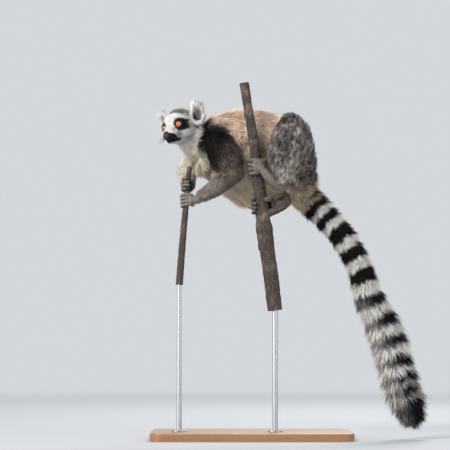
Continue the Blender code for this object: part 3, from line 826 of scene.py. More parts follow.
# dark behind a line that runs from the nape down to the chest, white in front of it
def withNeckAndHead(coat, lie, ragged, height):
    x, y, z = lie.points.T
    along = (lie.points - np.array(body["neck"][0][0])) @ unit(np.array([56, 20, -24.0]))
    under = -(z - (674 - 0.4 * along)) / 36
    edge = 22 + 42 * ramp(under, 0.05, 1.0) + 3.5 * ragged
    edge -= 32 * fade(y, -50, -26) * ramp(under, 0.3, 0.9) * fade(under, 1.25, 1.7)  # more on the near side
    throat = blend(shades["white"][None], shades["chest"], ramp(under, 0.1, 0.8) * ramp(along, 2, 30))
    nape = blend(shades["black"][None], shades["shoulder"], ramp(along, 44, 80))
    neckness = fade(along, 52, 84) * (1 - ramp(height, 0.52, 0.72) * ramp(x, -112, -96)) * ramp(z, 590, 612)
    farArm = capped(lie.weight["upperArmRight"] + lie.weight["forearmRight"])
    coat = blend(coat, blend(throat, nape, ramp(along - edge, -3, 4)), capped(neckness) * (1 - farArm))
    return blend(coat, headColour(lie, ragged), capped(lie.headness * 1.6) * (along < edge + 2))


def inCup(points, reach=1.15):  # whether points lie in the hollow of either ear
    found = np.zeros(len(points), bool)
    for side in (1, -1):
        x, y, z = seenFrom(headPlace @ earFrame(side), points * mm).T
        found |= (np.hypot(y / ear["width"], z / ear["height"]) < reach) & (x > -ear["cup"] - 3) & (x < 7)
    return found


tear = [(33, 10.5, 4), (40, 9.5, 0.5), (46, 8.5, -3)]  # dark line from the inner corner of the eye


def headColour(lie, ragged):
    x, y, z = lie.local.T
    fray = 0.9 * ragged
    colour = blend(shades["white"][None], shades["cheek"], ramp(-x, -4, 14) * ramp(-z, -6, 4) * 0.7)
    colour = blend(colour, shades["chest"], ramp(-z, 24, 36) * ramp(-x, -14, 10) * 0.8)
    crown = ramp(-x + 1.2 * fray, -17, -11) * ramp(z + fray + 1.3 * (-x - 16).clip(0, 40), 16, 21)
    colour = blend(colour, shades["crown"], crown)
    earFront = 7 - lengths(lie.folded - np.array([-7, 24, 21]))
    colour = blend(colour, shades["black"], ramp(earFront, 0, 4) * 0.8)
    dx, dy, dz = (lie.folded - np.array(headPose["eye"])).T
    gap = np.sqrt(dx * dx + dy * dy + dz * dz) + fray * 0.6
    reach = 15.2 + 3.2 * ramp(-dx, 2, 20) - 3 * ramp(-dy, 2, 9) - 3.4 * ramp(dz, 4, 13)
    reach = reach + 2.4 * ramp(-dz, 2, 12) * ramp(-dx, 2, 14)
    brow = ramp(dz, -8, 0) * ramp(-dx, 0, 6) * fade(gap, reach + 6, reach + 10)
    colour = blend(colour, shades["white"], brow)
    colour = blend(colour, shades["patchGrey"], fade(gap, reach + 0.6, reach + 3))
    colour = blend(colour, shades["black"], fade(gap, reach - 1.6, reach + 1.2))
    colour = blend(colour, shades["black"], fade(nearLine(lie.folded, tear) + 0.6 * fray, 1.6, 3.6) * 0.85)
    # painted shade: a blue-grey shadow in the hollow on each side of the muzzle, below the eye
    toMuzzleShadow = lengths((lie.folded - np.array([31, 16, -10])) / np.array([7, 6, 5]))
    colour = blend(colour, shades["muzzleShadowGrey"], fade(toMuzzleShadow, 0.6, 1.3) * 0.85)
    lip = ramp(z + 0.12 * (x - 50) + 0.7 * fray, -28.5, -26.5)
    snout = ramp(x - 2.1 * z + fray, 67, 72) * lip * ramp(x, 16, 22)
    snout = np.maximum(snout, ramp(x - 0.25 * np.abs(y), 54, 57) * ramp(z, -27, -24.5))
    colour = blend(colour, shades["black"], snout)
    colour = np.where((lie.skull & inCup(lie.points, 0.95))[:, None], shades["black"], colour)
    colour = np.where(lie.ear[:, None], earColour(lie), colour)
    return np.where(lie.lid[:, None], shades["black"], colour)


def earColour(lie):  # white outside and on the rim, grey to black in the cup
    facing = np.zeros(len(lie.points))
    for name, side in (("earLeft", 1), ("earRight", -1)):
        out = np.array((headPlace @ earFrame(side)).to_3x3().normalized())[:, 0]
        facing = np.where(lie.on(name), lie.normals @ out, facing)
    cup = ramp(facing, -0.1, 0.3) * fade(earRim(lie), 0.68, 0.86)
    inner = blend(shades["earGrey"][None], shades["black"], ramp(-lie.earLocal[:, 2], -8, -2))
    return blend(shades["white"][None], inner, cup)


def earRim(lie):  # 0 in the middle of the cup, 1 at its rim
    return np.hypot(lie.earLocal[:, 1] / ear["width"], lie.earLocal[:, 2] / ear["height"])


def attribute(mesh, name, values):
    layer = mesh.attributes.new(name, "FLOAT_COLOR", "POINT")
    opaque = np.concatenate([values, np.ones((len(values), 1))], 1)
    layer.data.foreach_set("color", opaque.astype(np.float32).ravel())


skinPoints, skinNormals = coords(skinForm) / mm, vertNormals(skinForm)
skinLie = Lie(skinPoints, skinNormals, skinLabel)
skinColour, _ = markings(skinLie)


def bareLids(lie):  # 1 on the rims of the lids
    bare = np.zeros(len(lie.points))
    near = (lie.eyeGap < 14) & lie.onHead
    corner, up, down = lids["opening"]
    for side in (1, -1):
        seen = unit(seenFrom(headPlace @ eyeFrame(side), lie.points * mm))
        turn = np.arctan2(seen[:, 2], np.abs(seen[:, 1]))
        edge = np.hypot(corner * np.cos(turn), np.where(seen[:, 2] > 0, up, down) * np.sin(turn))
        rim = fade(np.degrees(np.arccos(seen[:, 0].clip(-1, 1))) - edge, 3, 6)
        bare = np.where(near & (lie.local[:, 1] * side > 0), rim, bare)
    return bare


def bareSkin(lie):  # 1 on palms, soles, digit tips, nose and lids, where there is no coat
    socket = lie.skull & (lie.eyeGap < 9.9)
    leather = lengths((lie.local - np.array(nose["centre"])) / (np.array(nose["radii"]) + 0.8)) < 1
    bare = np.where(socket | (lie.skull & leather), 1, bareLids(lie))
    for name, grip in grips.items():
        axis = np.array(gripFrame(grip)[0])
        offset = lie.points - np.array(grip["centre"])
        fromAxis = offset - (offset @ axis)[:, None] * axis
        inward = -np.sum(lie.normals * unit(fromAxis), axis=1)
        tips = np.zeros(len(bare))
        for number in range(5):
            key = name + "Digit" + str(number)
            tips = np.maximum(tips, lie.weight[key] * ramp(lie.share[key], 0.9, 0.97))
        palm = grip["palm"][0]
        rooted = fade(lengths(fromAxis), palm - 1, palm + 3)
        bare = np.where(lie.on(name), np.maximum(ramp(inward, -0.25, 0.15) * rooted, tips), bare)
    return bare


skinBare = bareSkin(skinLie)
# painted shade: under the coat the skin takes the markings darkened to 0.72, for the shade in the gaps between
# the tufts
attribute(skinForm, "skinColour", blend(skinColour * 0.72, shades["leather"], skinBare))
print("markings")


class Wire:  # a socket whose arithmetic becomes Math nodes
    def __init__(self, tree, socket):
        self.tree, self.socket = tree, socket

    def math(self, operation, *terms):
        node = self.tree.nodes.new("ShaderNodeMath")
        node.operation = operation
        for index, term in enumerate(terms):
            plug(self.tree, term, node.inputs[index])
        return Wire(self.tree, node.outputs[0])

    def __add__(self, other):
        return self.math("ADD", self, other)

    def __radd__(self, other):
        return self.math("ADD", other, self)

    def __sub__(self, other):
        return self.math("SUBTRACT", self, other)

    def __rsub__(self, other):
        return self.math("SUBTRACT", other, self)

    def __mul__(self, other):
        return self.math("MULTIPLY", self, other)

    def __rmul__(self, other):
        return self.math("MULTIPLY", other, self)

    def __pow__(self, other):
        return self.math("POWER", self, other)

    def between(self, low, high):  # smooth step
        node = self.tree.nodes.new("ShaderNodeMapRange")
        node.interpolation_type = "SMOOTHSTEP"
        plug(self.tree, self, node.inputs["Value"])
        node.inputs["From Min"].default_value = low
        node.inputs["From Max"].default_value = high
        return Wire(self.tree, node.outputs["Result"])


def plug(tree, value, socket):
    if isinstance(value, Wire):
        tree.links.new(value.socket, socket)
    else:
        socket.default_value = value


class Surface:  # one Principled material and its nodes
    def __init__(self, name, **constants):
        self.material = bpy.data.materials.new(name)
        self.material.use_nodes = True
        self.tree = self.material.node_tree
        self.tree.nodes.clear()
        self.shader = self.tree.nodes.new("ShaderNodeBsdfPrincipled")
        self.output = self.tree.nodes.new("ShaderNodeOutputMaterial")
        self.tree.links.new(self.shader.outputs[0], self.output.inputs[0])
        self.set(**constants)

    def set(self, **values):
        for name, value in values.items():
            plug(self.tree, value, self.shader.inputs[name.replace("_", " ")])

    def add(self, kind, settings=None, output=0, **values):
        node = self.tree.nodes.new("ShaderNode" + kind)
        for name, value in (settings or {}).items():
            setattr(node, name, value)
        for name, value in values.items():
            plug(self.tree, value, node.inputs[name.replace("_", " ")])
        return Wire(self.tree, node.outputs[output])

    def place(self, scale=(1, 1, 1)):
        node = self.tree.nodes.new("ShaderNodeTexCoord")
        return self.add("Mapping", Vector=Wire(self.tree, node.outputs["Object"]), Scale=scale)

    def noise(self, vector, scale, detail=3, twist=0):
        return self.add("TexNoise", None, "Fac", Vector=vector, Scale=scale, Detail=detail, Distortion=twist)

    def mix(self, share, a, b):
        node = self.tree.nodes.new("ShaderNodeMix")
        node.data_type = "RGBA"  # its share is input 0, its colours are 6 and 7, its result is output 2
        for index, value in ((0, share), (6, a), (7, b)):
            plug(self.tree, (*value, 1) if isinstance(value, tuple) else value, node.inputs[index])
        return Wire(self.tree, node.outputs[2])

    def bump(self, height, strength, distance=0.001):
        self.set(Normal=self.add("Bump", Height=height, Strength=strength, Distance=distance))

    def attributed(self, name):
        return self.add("Attribute", {"attribute_name": name}, "Color")


def dress(obj, surface):
    obj.data.materials.clear()
    obj.data.materials.append(surface.material)


def smoothPiece(name, mesh, surface):
    made = newObject(name, mesh)
    made.data.shade_smooth()
    dress(made, surface)
    return made


skinLook = Surface("skinLook", Roughness=0.72)
skinLook.set(Base_Color=skinLook.attributed("skinColour"))
skinLook.bump(skinLook.noise(skinLook.place(), 900, 4), 0.25, 0.0004)
dress(skin, skinLook)
skin.data.shade_smooth()

# the coat: closed three-sided tufts, rooted just under the skin
coat = {
    "lock": 14,  # tufts drawn together
    "perPiece": 19000, "perShortPiece": 48000,  # tufts in one piece at most
    "rootDepth": 0.8,
}
coatLooks = {  # lift in degrees at root and tip, length over depth, width, clumping, stray degrees, layers
    "head": (32, 14, 2.2, 0.95, 0.15, 9, 3.8),
    "ear": (38, 24, 1.8, 0.9, 0.35, 14, 4.5),
    "neck": (40, 14, 2.15, 1.0, 0.35, 10, 5.5),
    "trunk": (48, 15, 2.0, 1.0, 0.5, 21, 5.5),
    "arms": (40, 13, 2.1, 1.0, 0.4, 12, 4.3),
    "legs": (44, 15, 2.0, 1.0, 0.6, 13, 4.2),
    "tail": (68, 38, 1.28, 1.25, 0.45, 12, 5.5),
    "grips": (28, 10, 2.3, 1.0, 0.1, 10, 1.35),
}
shortCoat = ("head", "grips")  # straight tufts


def tuftWidth(length, wider):
    return wider * 0.2 * np.sqrt(length)


regionStarts = [  # how a chain's name starts, and its region of the coat
    ("trunk", "trunk"), ("neck", "neck"), ("tail", "tail"), ("hand", "grips"), ("foot", "grips"),
    ("upperArm", "arms"), ("forearm", "arms"), ("thigh", "legs"), ("shank", "legs"),
]


def regions(lie):
    chainRegion = []
    for name in chainNames:
        chainRegion.append(next(region for start, region in regionStarts if name.startswith(start)))
    strongest = np.argmax(np.stack([lie.weight[name] for name in chainNames], 1), axis=1)
    region = np.array(chainRegion)[strongest]
    region = np.where(lie.headness > 0.5, "head", region)
    region = np.where(lie.gripped > 0, "grips", region)
    return np.where(lie.ear, "ear", region)


rng = np.random.default_rng(11)


def perTriangle(field, width, kind):
    flat = np.empty(len(skinForm.loop_triangles) * width, kind)
    skinForm.loop_triangles.foreach_get(field, flat)
    return flat.reshape(-1, width) if width > 1 else flat


def scatter():  # roots on the skin's triangles, denser where the coat is short
    skinForm.calc_loop_triangles()
    corners, loops = perTriangle("vertices", 3, np.int32), perTriangle("loops", 3, np.int32)
    areas = perTriangle("area", 1, np.float32)
    depth, spread = skinLie.depth[corners].mean(1), skinLie.spread[corners].mean(1)
    looks = np.array([coatLooks[name] for name in regions(skinLie)])[corners[:, 0]]
    length = np.where(skinLie.ear[corners[:, 0]], 8.0, depth) * looks[:, 2]
    density = looks[:, 6] * spread / (0.62 * length * tuftWidth(length, looks[:, 3]))
    density *= np.where(skinBare[corners].max(1) > 0.5, 0, 1)
    number = np.floor(density * areas * 1e6 + rng.random(len(areas))).astype(int)
    picked = np.repeat(np.arange(len(areas)), number)
    u, v = rng.random(len(picked)), rng.random(len(picked))
    over = u + v > 1
    u[over], v[over] = 1 - u[over], 1 - v[over]
    return corners[picked], loops[picked], np.stack([1 - u - v, u, v], 1)


def spreadTo(values, corners, share):
    return np.einsum("nk,nkj->nj", share, values[corners])


rootCorners, rootLoops, rootShare = scatter()
print("tufts", len(rootCorners))


def growTufts():  # every tuft's stations, width and place in the coat
    root = spreadTo(skinPoints, rootCorners, rootShare)
    normal = unit(spreadTo(skinNormals, rootCorners, rootShare))
    lie = Lie(root, normal, skinLabel[rootCorners[:, 0]])
    region, count = regions(lie), len(root)
    looks = np.zeros((count, 7))
    for name, values in coatLooks.items():
        looks[region == name] = values
    liftRoot, liftTip, longer, wider, clumping, stray, _ = looks.T
    liftRoot, liftTip = np.radians(liftRoot), np.radians(liftTip)
    depth = np.where(lie.ear, earDepth(lie), lie.depth)
    length = depth * longer * (1 + 0.2 * rng.normal(size=count).clip(-1.6, 1.6))
    width = tuftWidth(length, wider) * rng.uniform(0.8, 1.25, count)
    astray = rng.normal(size=count) + 1.1 * wander(root, 16, 8) + 0.8 * wander(root, 7, 9)
    swirl = np.radians(stray) * astray
    flow = lie.flow * np.cos(swirl)[:, None] + np.cross(normal, lie.flow) * np.sin(swirl)[:, None]
    length = np.where(lie.skull & inCup(root + flow * length[:, None] * 0.9), length * 0.3, length)
    liftRoot += rng.normal(size=count) * 0.12
    middle = root + lifted(flow, normal, liftRoot) * (length * 0.45)[:, None]
    tip = middle + lifted(flow, normal, liftTip + rng.normal(size=count) * 0.08) * (length * 0.55)[:, None]
    middle, tip, lock = gather(root, middle, tip, clumping)
    lie.ahead = np.sum((tip - root) * lie.flow, axis=1) * 0.45 / tailRun[-1]
    return {
        "lie": lie, "region": region, "base": root - normal * coat["rootDepth"], "middle": middle, "tip": tip,
        "width": width, "length": length, "lock": lock,
    }


def lifted(flow, normal, angle):
    return flow * np.cos(angle)[:, None] + normal * np.sin(angle)[:, None]


def earDepth(lie):
    edge = ramp(earRim(lie), 0.75, 0.95)
    return 1.6 + 4.6 * edge + 6 * ramp(lie.earLocal[:, 2], 2, 14) * edge


def gather(root, middle, tip, clumping):  # tips drawn towards their leader's, as locks
    leaders = rng.permutation(len(root))[: len(root) // coat["lock"]]
    tree = KDTree(len(leaders))
    for order, index in enumerate(leaders):
        tree.insert(root[index], order)
    tree.balance()
    nearest = leaders[np.array([tree.find(point)[1] for point in root])]
    pull = (clumping * rng.uniform(0.5, 1.2, len(root)))[:, None]
    close = np.linalg.norm(root - root[nearest], axis=1, keepdims=True) < 9
    toMiddle = (middle[nearest] - middle) * pull * 0.35 * close
    toTip = (tip[nearest] - tip) * pull * close
    return middle + toMiddle, tip + toTip, nearest


def tuftColours(tufts):  # at the base, middle and tip
    lie, lock = tufts["lie"], tufts["lock"]
    colour, tick = markings(lie)
    count = len(colour)
    light = ramp(colour.mean(1), 0.012, 0.06)
    locks = rng.normal(size=count).clip(-1.7, 1.7)[lock] * (0.05 + 0.85 * tick ** 3 + 0.16 * tick) * light
    fine, broad = wander(lie.points, 3.6, 21), wander(lie.points, 12, 22)
    drift = 1 + (0.08 + 0.14 * tick) * fine + (0.08 + 0.1 * tick) * broad
    lift = (drift * np.exp(locks) * rng.normal(1, 0.07, count)).clip(0.3, 2.2)
    lift = np.minimum(lift, 0.84 / colour.max(1))  # no channel is cut off, which would tint the pale hairs
    colour = colour * lift[:, None]
    chance = rng.random(count)
    pale = (chance < 0.3 * tick * light)[:, None]
    dark = (chance > 1 - 0.34 * tick)[:, None]
    middle = np.where(dark, colour * 0.62, colour)
    tip = np.where(pale, blend(colour, shades["white"], 0.45), np.where(dark, colour * 0.38, colour * 1.06))
    # painted shade: the base of a longer tuft is darker, for the shade that the coat casts over its roots
    root = colour * (1 - 0.26 * ramp(tufts["length"], 2, 14)[:, None])
    return {"base": root.clip(0, 1), "middle": middle.clip(0, 0.95), "tip": tip.clip(0, 0.95)}


longTuft = {  # rings of three corners with their widths, then the tip; faces as corner lists
    "rings": [("base", 0.55), ("middle", 1.0)],
    "faces": [[0, 3, 4, 1], [1, 4, 5, 2], [2, 5, 3, 0], [3, 6, 4], [4, 6, 5], [5, 6, 3], [0, 1, 2]],
    "patch": [[-1, -1], [1, -1], [0, -1], [-1, 0], [1, 0], [0, 0], [0, 1]],
}
shortTuft = {
    "rings": [("base", 0.95)],
    "faces": [[0, 3, 1], [1, 3, 2], [2, 3, 0], [0, 1, 2]],
    "patch": [[-1, -1], [1, -1], [0, -1], [0, 1]],
}
patchHalf = 0.0014  # half a tuft's width on the unwrap


def tuftPoints(tufts, chosen, plan):  # metres
    base, tip, width = (tufts[key][chosen] for key in ("base", "tip", "width"))
    along = unit(tip - base)
    across = unit(np.cross(along, tufts["lie"].normals[chosen]))
    up = np.cross(across, along)
    half = width[:, None] / 2
    points = np.empty((len(chosen), len(plan["patch"]), 3), np.float32)
    for ring, (key, wide) in enumerate(plan["rings"]):
        centre = tufts[key][chosen]
        points[:, ring * 3] = centre - across * half * wide
        points[:, ring * 3 + 1] = centre + across * half * wide
        points[:, ring * 3 + 2] = centre + up * half * wide * 0.75
    points[:, -1] = tip
    points *= mm
    return points


def tuftMesh(name, points, plan):
    count, perTuft, _ = points.shape
    corners = np.concatenate([np.array(face) for face in plan["faces"]])
    sizes = np.array([len(face) for face in plan["faces"]])
    order = np.arange(count)[:, None]
    mesh = bpy.data.meshes.new(name)
    mesh.vertices.add(count * perTuft)
    mesh.vertices.foreach_set("co", points.ravel())
    mesh.loops.add(count * len(corners))
    mesh.loops.foreach_set("vertex_index", (corners[None] + perTuft * order).astype(np.int32).ravel())
    mesh.polygons.add(count * len(sizes))
    starts = (np.cumsum(sizes) - sizes)[None] + len(corners) * order
    mesh.polygons.foreach_set("loop_start", starts.astype(np.int32).ravel())
    mesh.update(calc_edges=True)
    mesh.polygons.foreach_set("use_smooth", np.ones(count * len(sizes), bool))
    return mesh, corners


def coatPiece(name, chosen, tufts, plan):  # one joined mesh of closed tufts
    points = tuftPoints(tufts, chosen, plan)
    mesh, corners = tuftMesh(name, points, plan)
    keys = [key for key, _ in plan["rings"]] + ["tip"]
    times = [3] * len(plan["rings"]) + [1]
    levels = np.stack([tufts["shade"][key][chosen] for key in keys], 1)
    attribute(mesh, "coatColour", np.repeat(levels, times, axis=1).reshape(-1, 3))
    patch = np.array(plan["patch"]) * patchHalf
    layer = mesh.uv_layers.new(name="OFBake")
    uvs = tufts["uv"][chosen][:, None] + patch[corners][None]
    layer.data.foreach_set("uv", uvs.astype(np.float32).ravel())
    base, middle, tip = (tufts[key][chosen] for key in ("base", "middle", "tip"))
    core = (middle if plan is longTuft else (base + tip) / 2)[:, None]
    skinward = tufts["lie"].normals[chosen][:, None]
    soft = unit(skinward * 0.75 + unit(points / mm - core) * 0.45)  # rounded shading that follows the skin
    mesh.normals_split_custom_set_from_vertices(soft.reshape(-1, 3))
    return newObject(name, mesh)


def skinUnwrap():  # the skin's own unwrap, one pair per loop
    bpy.context.view_layer.objects.active = skin
    skin.select_set(True)
    skinForm.uv_layers.new(name="OFBake")
    bpy.ops.object.mode_set(mode="EDIT")
    bpy.ops.mesh.select_all(action="SELECT")
    bpy.ops.uv.smart_project(angle_limit=math.radians(66), island_margin=0.002)
    bpy.ops.object.mode_set(mode="OBJECT")
    flat = np.empty(len(skinForm.loops) * 2, dtype=np.float32)
    skinForm.uv_layers["OFBake"].data.foreach_get("uv", flat)
    return flat.reshape(-1, 2)


skinUv = skinUnwrap()
tufts = growTufts()
tufts["uv"] = spreadTo(skinUv, rootLoops, rootShare)
tufts["shade"] = tuftColours(tufts)
print("tufts grown")

furLook = Surface("furLook", Roughness=0.6)
furLook.set(Base_Color=furLook.attributed("coatColour"))
furLook.shader.inputs["Specular IOR Level"].default_value = 0.14
for name in coatLooks:
    members = np.flatnonzero(tufts["region"] == name)
    members = members[np.argsort(tufts["lie"].points[members, 0], kind="stable")]
    plan, most = (shortTuft, coat["perShortPiece"]) if name in shortCoat else (longTuft, coat["perPiece"])
    split = max(1, math.ceil(len(members) / most))
    for number, chosen in enumerate(np.array_split(members, split)):
        piece = coatPiece("coat_" + name + ("_" + str(number + 1) if split > 1 else ""), chosen, tufts, plan)
        dress(piece, furLook)
        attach(piece, "root")
        print(piece.name, len(piece.data.polygons), "faces")

# eyes: orange iris in a dark ball under a clear bulge, turned with the head
eye = {
    "iris": 37.5, "limbus": 33, "pupil": 11,  # degrees from the gaze
    "bulge": 0.9,
    "outer": ((192, 82, 12), (240, 144, 44)),  # two shades each
    "inner": ((212, 98, 20), (226, 116, 30)),
    "dark": (16, 12, 11), "pupilBlack": (6, 5, 5),
}


def eyeball(side):
    form = bmesh.new()
    bmesh.ops.create_uvsphere(form, u_segments=48, v_segments=40, radius=headPose["eyeRadius"])
    bmesh.ops.rotate(form, verts=form.verts, matrix=Matrix.Rotation(math.pi / 2, 3, "Y"))
    for vert in form.verts:
        angle = math.degrees(math.acos(max(-1, min(1, vert.co.x / vert.co.length))))
        vert.co += vert.co.normalized() * eye["bulge"] * float(fade(angle, 10, 46))
    polar = form.verts.layers.float_color.new("gaze")
    for vert in form.verts:
        vert[polar] = (*(0.5 + 0.5 * part for part in vert.co.normalized()), 1)
    bmesh.ops.transform(form, matrix=headPlace @ eyeFrame(side), verts=form.verts)
    bmesh.ops.recalc_face_normals(form, faces=form.faces)
    return settled(form)


def sine(degrees):
    return math.sin(math.radians(degrees))


def eyeLook():
    look = Surface("eyeLook", Roughness=0.06, Coat_Weight=1.0, Coat_Roughness=0.03)
    parts = look.add("SeparateColor", Color=look.attributed("gaze"))
    x, y, z = (Wire(look.tree, output) * 2 - 1 for output in parts.socket.node.outputs)
    radius = (y * y + z * z) ** 0.5  # sine of the angle from the gaze
    spokes = look.add("CombineXYZ", X=z.math("ARCTAN2", z, y) * 7, Y=radius * 3)
    fibres = look.add("TexNoise", {"noise_dimensions": "2D"}, "Fac", Vector=spokes, Scale=1.0, Detail=3)
    outer = look.mix(fibres.between(0.35, 0.7), *(paint(*shade) for shade in eye["outer"]))
    inner = look.mix(fibres.between(0.3, 0.7), *(paint(*shade) for shade in eye["inner"]))
    colour = look.mix(radius.between(0.22, 0.4), outer, inner)
    colour = look.mix(radius.between(sine(eye["limbus"]), sine(eye["iris"])), colour, paint(*eye["dark"]))
    pupil = 1 - radius.between(sine(eye["pupil"] - 1), sine(eye["pupil"] + 1))
    colour = look.mix(pupil, colour, paint(*eye["pupilBlack"]))
    behind = 1 - x.between(-0.05, 0.05)
    look.set(Base_Color=look.mix(behind, colour, paint(*eye["dark"])))
    return look


eyeSurface = eyeLook()
for side, name in ((1, "eye_left"), (-1, "eye_right")):
    glass = smoothPiece(name + "_glass", eyeball(side), eyeSurface)
    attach(glass, "root")
    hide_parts(name)


def noseForm():  # leather with comma-shaped nostrils
    form = bmesh.new()
    bmesh.ops.create_icosphere(form, subdivisions=5, radius=1)
    for vert in form.verts:
        x, y, z = vert.co
        side = abs(y)
        rise = (z + 0.05 + 0.35 * (side - 0.5)) / 0.2
        dent = math.exp(-(((side - 0.5) / 0.17) ** 2 + rise ** 2)) * (x > 0)
        slot = math.exp(-(((side - 0.86) / 0.12) ** 2 + ((z + 0.2) / 0.12) ** 2)) * (x > -0.2)
        cleft = math.exp(-((y / 0.07) ** 2)) * float(ramp(-z, 0.0, 0.5)) * (x > 0)
        grain = 0.012 * math.sin(34 * y + 3 * math.sin(21 * z)) * math.sin(31 * z + 2 * math.sin(25 * y))
        scale = 1 - 0.42 * dent - 0.25 * slot - 0.14 * cleft + grain
        flat = 1 - 0.12 * max(0, x)
        vert.co = Vector((x * scale * flat, y * scale * (1 - 0.22 * max(0, -z)), z * scale))
    shape = headPlace @ Matrix.Translation(nose["centre"]) @ Matrix.Diagonal((*nose["radii"], 1))
    bmesh.ops.transform(form, matrix=shape, verts=form.verts)
    return toMesh(form)


noseLook = Surface("noseLook", Roughness=0.42, Coat_Weight=0.25, Coat_Roughness=0.25)
noseShade = noseLook.noise(noseLook.place(), 420)
noseLook.set(Base_Color=noseLook.mix(noseShade, paint(20, 17, 18), paint(44, 38, 38)))
noseLook.bump(noseLook.noise(noseLook.place(), 1800, 2), 0.35, 0.0002)
noseTip = smoothPiece("nose_leather", noseForm(), noseLook)
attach(noseTip, "root")

whiskers = {"rows": 4, "lines": 3, "brows": 3}  # on the muzzle, back from its tip and down, and over each eye


def whiskerPlan():  # root in head millimetres, direction and length for the left side
    plan = []
    for row in range(whiskers["rows"]):
        for line in range(whiskers["lines"]):
            place = (54 - 4.5 * row, 8.5 + 1.7 * row, -12 - 2.6 * line)
            plan.append((place, (0.35 - 0.12 * row, 1, -0.12 - 0.16 * line), 17 + 3.5 * row))
    for hair in range(whiskers["brows"]):
        place = (27 - 2 * hair, 10 + 3 * hair, 18.5 + 0.4 * hair)
        plan.append((place, (0.35, 0.4 + 0.15 * hair, 0.8), 13))
    return plan


def whiskerForm():
    corners = [headPlace.inverted() @ vert.co for vert in skinForm.vertices]
    surface = BVHTree.FromPolygons(corners, [face.vertices[:] for face in skinForm.polygons])
    form = bmesh.new()
    for place, heading, length in whiskerPlan():
        for side in (1, -1):
            rooted = surface.find_nearest(Vector((place[0], place[1] * side, place[2])))[0]
            aim = np.array(heading) * (1, side, 1) + rng.normal(0, 0.14, 3)
            reach = Vector(aim).normalized() * length * rng.uniform(0.75, 1.15)
            sag = Vector((-0.16, 0, -0.1)) * length
            bend, end = rooted + reach * 0.5 + sag * 0.25, rooted + reach + sag
            hair = [(rooted - reach * 0.04, 0.2), (bend, 0.14), (end, 0.03)]
            form.from_mesh(tube(hair, 1, headPlace))
    return toMesh(form)


whiskerLook = Surface("whiskerLook", Roughness=0.4)
whiskerShade = whiskerLook.noise(whiskerLook.place(), 60, 1)
whiskerLook.set(Base_Color=whiskerLook.mix(whiskerShade, paint(22, 19, 19), paint(60, 54, 52)))
whisker = smoothPiece("whiskers", whiskerForm(), whiskerLook)
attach(whisker, "root")

# stand: oiled wood base and brushed steel rods keep their solids and get their own materials
woodLook = Surface("woodLook", Roughness=0.42, Coat_Weight=0.15, Coat_Roughness=0.3)
woodWarp = woodLook.noise(woodLook.place((1.5, 5, 5)), 3.0, 3)
woodRings = (woodLook.noise(woodLook.place((0.8, 4, 4)), 3.5, 2) * 60).math("SINE") * 0.5 + 0.5
woodGrain = woodLook.noise(woodLook.place((4, 90, 90)), 8, 3)
woodColour = woodLook.mix(woodRings * 0.55 + woodWarp * 0.3, paint(126, 86, 56), paint(176, 130, 90))
woodLook.set(Base_Color=woodLook.mix(woodGrain.between(0.3, 0.75) * 0.35, woodColour, paint(96, 62, 40)))
woodLook.bump(woodGrain, 0.12, 0.0004)
steelLook = Surface("steelLook", Metallic=1.0)
steelScratch = steelLook.noise(steelLook.place((60, 60, 900)), 3, 2)
steelShade = steelLook.mix(steelScratch, paint(176, 178, 182), paint(205, 207, 210))
steelLook.set(Base_Color=steelShade, Roughness=0.26 + 0.12 * steelScratch)
steelLook.bump(steelScratch, 0.05, 0.0002)
for node, look in (("stand_base", woodLook), ("stand_rod_stem", steelLook), ("stand_rod_twig", steelLook)):
    standing = bpy.data.objects[node]
    for place in standing.material_slots:
        place.material = look.material
    if not standing.material_slots:
        standing.data.materials.append(look.material)

# nails: a dark curved plate on every digit, a claw on each foot's second toe
nail = {"reach": 0.75, "forward": 0.55, "long": 2.5, "wide": 1.9, "thick": 0.7, "claw": 4.6}


def nailForm():
    form = bmesh.new()
    for name, grip in grips.items():
        for number, (path, outward, forward, _) in enumerate(digitPaths(grip)):
            end, radius = path[-1]
            claw = name.startswith("foot") and number == 2
            wide = nail["wide"] * (0.6 if claw else 1) * radius / 2.6
            thick = nail["thick"] * (1.6 if claw else 1)
            long = nail["claw"] if claw else nail["long"]
            forward = (forward - outward * forward.dot(outward)).normalized()
            turn = turnTo(forward, outward.cross(forward), outward)
            root = end + outward * radius * nail["reach"] + forward * radius * nail["forward"]
            verts = bmesh.ops.create_uvsphere(form, u_segments=14, v_segments=10, radius=1)["verts"]
            for vert in verts:
                x, y, z = vert.co
                rise = z * thick - 0.5 * y * y - 0.35 * x * x
                vert.co = (x * long * (1 - 0.25 * y * y), y * wide * (1 - 0.35 * max(0, x)), rise)
            place = Matrix.Scale(mm, 4) @ (Matrix.Translation(root) @ turn)
            bmesh.ops.transform(form, matrix=place, verts=verts)
    return settled(form)


nailLook = Surface("nailLook", Roughness=0.32, Coat_Weight=0.3, Coat_Roughness=0.2)
nailShade = nailLook.noise(nailLook.place((1, 1, 3)), 500)
nailLook.set(Base_Color=nailLook.mix(nailShade, paint(34, 28, 25), paint(66, 55, 48)))
nails = smoothPiece("nails", nailForm(), nailLook)
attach(nails, "root")

